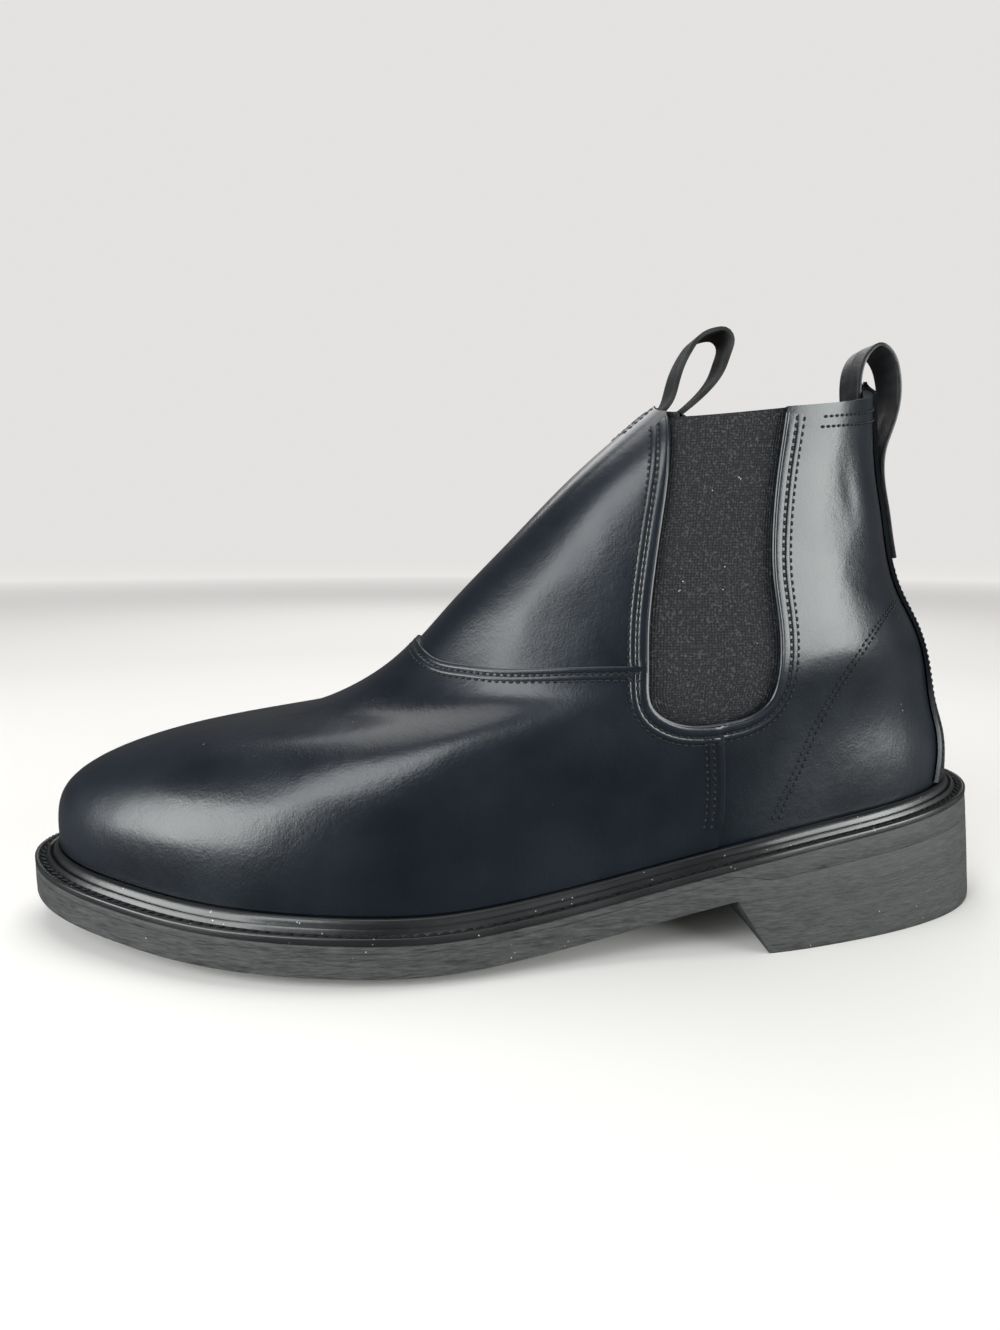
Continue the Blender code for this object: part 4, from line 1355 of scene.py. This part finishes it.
# %% Lock stitches in the channel
LOCK_PITCH = 3.3 * MM
LOCK_LENGTH = 3.4 * MM
LOCK_WIDTH = 1.1 * MM
LOCK_LEAN = 0.42
LOCK_INSET = 0.285
LOCK_HEIGHT = 0.74
lock_path = edge_points(*split_turn(welt_turns), LOCK_INSET * WELT_WIDTH)
lock_path[:, 2] = rubber_top(lock_path[:, 0]) + SEAM_GAP + LOCK_HEIGHT * WELT_EDGE
upright = np.zeros_like(lock_path)
upright[:, 2] = 1
lock_stitches = sew("lock_stitches", lock_path, upright, LOCK_PITCH, LOCK_LENGTH, LOCK_WIDTH, LOCK_LEAN)
finish_piece(lock_stitches, THREAD_FINISH, smooth_angle=60)

# %% [markdown]
# ## Rubber sole
# The sole and heel are one block of rubber, and its sides were rasped flat after it was glued on.
# A thin top layer shows as a line a little below the edge. The underside is a guess, because the
# photograph doesn't show it: shallow cross grooves, cut upwards from the tread.

# %% Rubber sole
SOLE_COLUMNS = 360
TREAD_PITCH = 6.0 * MM
TREAD_DEPTH = 1.4 * MM
TREAD_ACROSS = 0.86
TREAD_REACH = 0.47
HEEL_TREAD_MARGIN = 6 * MM
WAIST_LENGTH = 50 * MM
Wall = namedtuple("Wall", "down inset")
SIDE_WALL = (
    Wall(0.00, 0.35),
    Wall(0.03, 0.10),
    Wall(0.09, 0.00),
    Wall(0.19, 0.00),
    Wall(0.205, 0.22),
    Wall(0.22, 0.00),
    Wall(0.40, -0.05),
    Wall(0.60, -0.05),
    Wall(0.80, 0.00),
    Wall(0.93, 0.00),
    Wall(0.98, 0.10),
    Wall(1.00, 0.40),
)
BREAST_TOP_X = HEEL_BREAST_TOP - 0.5 * OUTSOLE_LENGTH
BREAST_FOOT_X = BREAST_TOP_X - HEEL_BREAST_RAKE


def underside(x, across):
    """The tread's height: flat heel, raked breast, arch, crowned forefoot."""
    crown = CROWN * (1 - np.abs(across) ** 2.5)
    reach = seat_height(np.maximum(x, BREAST_TOP_X)) - WELT_EDGE - RUBBER_EDGE - crown
    shank = np.maximum(0, reach)
    ramped = shank * np.clip((x - BREAST_FOOT_X) / HEEL_BREAST_RAKE, 0, 1)
    return np.where(x < BREAST_TOP_X, ramped, shank)


def sole_angles():
    """Station angles from heel to toe, with one at the breast's foot and one at its top."""
    angles = np.linspace(0, np.pi, SOLE_COLUMNS + 1)
    for x in (BREAST_FOOT_X, BREAST_TOP_X):
        exact = float(share_to_angle(x / OUTSOLE_LENGTH + 0.5))
        angles[np.argmin(np.abs(angles - exact))] = exact
    return angles


STATIONS = sole_angles()


def level_net(u, v, height, inset, outline):
    """Points of a level sheet: u along the sole and v across it."""
    angle = STATIONS[np.round(u * SOLE_COLUMNS).astype(int)]
    outer = outline(angle, np.ones_like(angle), inset)
    inner = outline(angle, -np.ones_like(angle), inset)
    place = inner + (outer - inner) * v[:, None]
    place[:, 2] = height(place[:, 0], 2 * v - 1)
    return place


def foot_outline(angle, side, inset):
    taper = HEEL_TAPER * np.maximum(0, np.cos(angle)) ** 2
    return edge_points(angle, side, inset - taper)


def tread(x, across):
    """The underside with its shallow cross grooves."""
    z = underside(x, across)
    bend = 0.10 * np.cos(1.5 * across) * OUTSOLE_WIDTH
    wave = np.cos(2 * np.pi * (x + bend) / TREAD_PITCH)
    groove = np.clip((wave - 0.25) / 0.35, 0, 1)
    inside = np.clip((TREAD_ACROSS - np.abs(across)) / 0.06, 0, 1)
    heel = np.clip((BREAST_FOOT_X - HEEL_TREAD_MARGIN - x) / (2 * MM), 0, 1)
    fore = np.clip((x - BREAST_TOP_X - WAIST_LENGTH) / (4 * MM), 0, 1)
    ends = np.clip((TREAD_REACH * OUTSOLE_LENGTH - np.abs(x)) / (4 * MM), 0, 1)
    return z + TREAD_DEPTH * groove * inside * np.maximum(heel, fore) * ends


def side_place(u, v):
    count = 2 * SOLE_COLUMNS
    index = np.round(u * count).astype(int)
    outer_half = index <= SOLE_COLUMNS
    angle = STATIONS[np.where(outer_half, index, count - index)]
    side = np.where(outer_half, 1.0, -1.0)
    row = np.round(v * (len(SIDE_WALL) - 1)).astype(int)
    down = np.array([wall.down for wall in SIDE_WALL])[row]
    inset = np.array([wall.inset for wall in SIDE_WALL])[row] * MM
    top = edge_points(angle, side, inset)
    foot = foot_outline(angle, side, inset)
    top[:, 2] = rubber_top(top[:, 0])
    foot[:, 2] = underside(foot[:, 0], np.ones_like(angle))
    return top + (foot - top) * down[:, None]


def make_sole():
    top_inset = SIDE_WALL[0].inset * MM
    foot_inset = SIDE_WALL[-1].inset * MM
    top = wrap_grid("sole_top", SOLE_COLUMNS, 8,
                    lambda u, v: level_net(u, v, lambda x, a: rubber_top(x), top_inset, edge_points))
    tread_net = wrap_grid("sole_tread", SOLE_COLUMNS, 56,
                          lambda u, v: level_net(u, v, tread, foot_inset, foot_outline))
    wall = wrap_grid("sole_wall", 2 * SOLE_COLUMNS, len(SIDE_WALL) - 1, side_place)
    obj = join_objects([wall, top, tread_net], "rubber_sole")
    merge_doubles(obj, 0.03 * MM)
    face_outwards(obj)
    finish_piece(obj, RUBBER_FINISH, smooth_angle=40, replaces=("outsole",))


make_sole()

# %% Insole
INSOLE = 3.0 * MM
INSOLE_DISH = 1.2 * MM
INSOLE_BOARD = 1.4 * MM
INSOLE_INSET = FEATHER_INSET + LEATHER + 5 * SEAM_GAP
INSOLE_ROWS = 20


def insole_top(x, across):
    return rubber_top(x) + SEAM_GAP + INSOLE - INSOLE_DISH * (1 - across ** 2)


insole = wrap_grid("insole_board", SOLE_COLUMNS, INSOLE_ROWS,
                   lambda u, v: level_net(u, v, insole_top, INSOLE_INSET, edge_points))
merge_doubles(insole, 0.03 * MM)
apply_modifier(insole, "SOLIDIFY", thickness=INSOLE_BOARD, offset=-1)
finish_piece(insole, INSOLE_FINISH, replaces=("insole",))

# %% [markdown]
# ## Stage and light
# Black leather shows mostly what it mirrors, so the room matters more than the lamps: a pale
# floor that glows to the camera with painted light, more the farther it lies, and that the leather
# mirrors as a painted dark floor; a pale surround that is bright to look at but gives little light;
# and large soft lamps whose mirror images make the broad highlights on toe, vamp and quarter.

# %% Floor
deselect_all()
bpy.ops.mesh.primitive_plane_add(size=12, location=(0, 0, 0))
floor = bpy.context.object
floor.name = "floor"
floor_material, floor_tree, floor_shader = new_material("pale_floor", 0.9)
floor_path = floor_tree.nodes.new("ShaderNodeLightPath")
# Painted reflection: in glossy rays the floor is near black, so the leather mirrors a dark floor instead
# of the pale one the camera sees.
floor_colour_painted_dark_in_reflections = blend_colours(floor_tree, floor_path.outputs["Is Glossy Ray"],
                             (0.82, 0.80, 0.78), (0.06, 0.06, 0.06))
floor_tree.links.new(floor_colour_painted_dark_in_reflections, floor_shader.inputs["Base Color"])
# Painted light: for camera rays only, the floor glows, more the farther it lies from the middle, standing
# in for lamp light on the far floor.
floor_reach = floor_tree.nodes.new("ShaderNodeVectorMath")
floor_reach.operation = "LENGTH"
floor_tree.links.new(stretched(floor_tree), floor_reach.inputs[0])
floor_painted_glow = ramp(floor_tree, floor_reach.outputs["Value"], 0.7, 3.0, 0.0, 0.70)
floor_shader.inputs["Emission Color"].default_value = (1.0, 0.98, 0.96, 1)
floor_tree.links.new(calculate(floor_tree, "MULTIPLY", floor_painted_glow, floor_path.outputs["Is Camera Ray"]),
                     floor_shader.inputs["Emission Strength"])
floor.data.materials.append(floor_material)
bpy.context.scene.view_settings.view_transform = "Standard"

# %% Light
SURROUND = (0.78, 0.765, 0.75, 1)


def make_surround():
    world = bpy.data.worlds.new("surround")
    bpy.context.scene.world = world
    world.use_nodes = True
    tree = world.node_tree
    background = tree.nodes["Background"]
    seen = add_node(tree, "ShaderNodeBackground", Color=SURROUND, Strength=1.0)
    background.inputs["Color"].default_value = SURROUND
    background.inputs["Strength"].default_value = 0.12
    path = tree.nodes.new("ShaderNodeLightPath")
    mix = tree.nodes.new("ShaderNodeMixShader")
    tree.links.new(path.outputs["Is Camera Ray"], mix.inputs[0])
    tree.links.new(background.outputs[0], mix.inputs[1])
    tree.links.new(seen.outputs[0], mix.inputs[2])
    tree.links.new(mix.outputs[0], tree.nodes["World Output"].inputs["Surface"])


def add_lamp(name, place, target, size, watts, colour=(1, 1, 1)):
    bpy.ops.object.light_add(type="AREA", location=place)
    lamp = bpy.context.object
    lamp.name = name
    lamp.data.size = size
    lamp.data.energy = watts
    lamp.data.color = colour
    lamp.rotation_euler = (Vector(target) - Vector(place)).to_track_quat("-Z", "Y").to_euler()
    return lamp


make_surround()
add_lamp("overhead", (0.05, -0.35, 1.70), (0, 0, 0.05), 1.6, 19)
add_lamp("toe_side", (0.95, 0.55, 0.26), (0.05, 0, 0.05), 0.8, 17, (0.97, 1.0, 0.99))
add_lamp("window", (0.60, 0.85, 0.95), (0, 0, 0.1), 0.5, 5.5, (0.94, 0.98, 1.0))
add_lamp("heel_side", (-1.00, 0.62, 0.16), (-0.08, 0, 0.10), 0.9, 22, (0.96, 1.0, 0.98))
add_lamp("behind", (-0.1, -1.1, 0.9), (0, 0, 0.05), 0.9, 4)
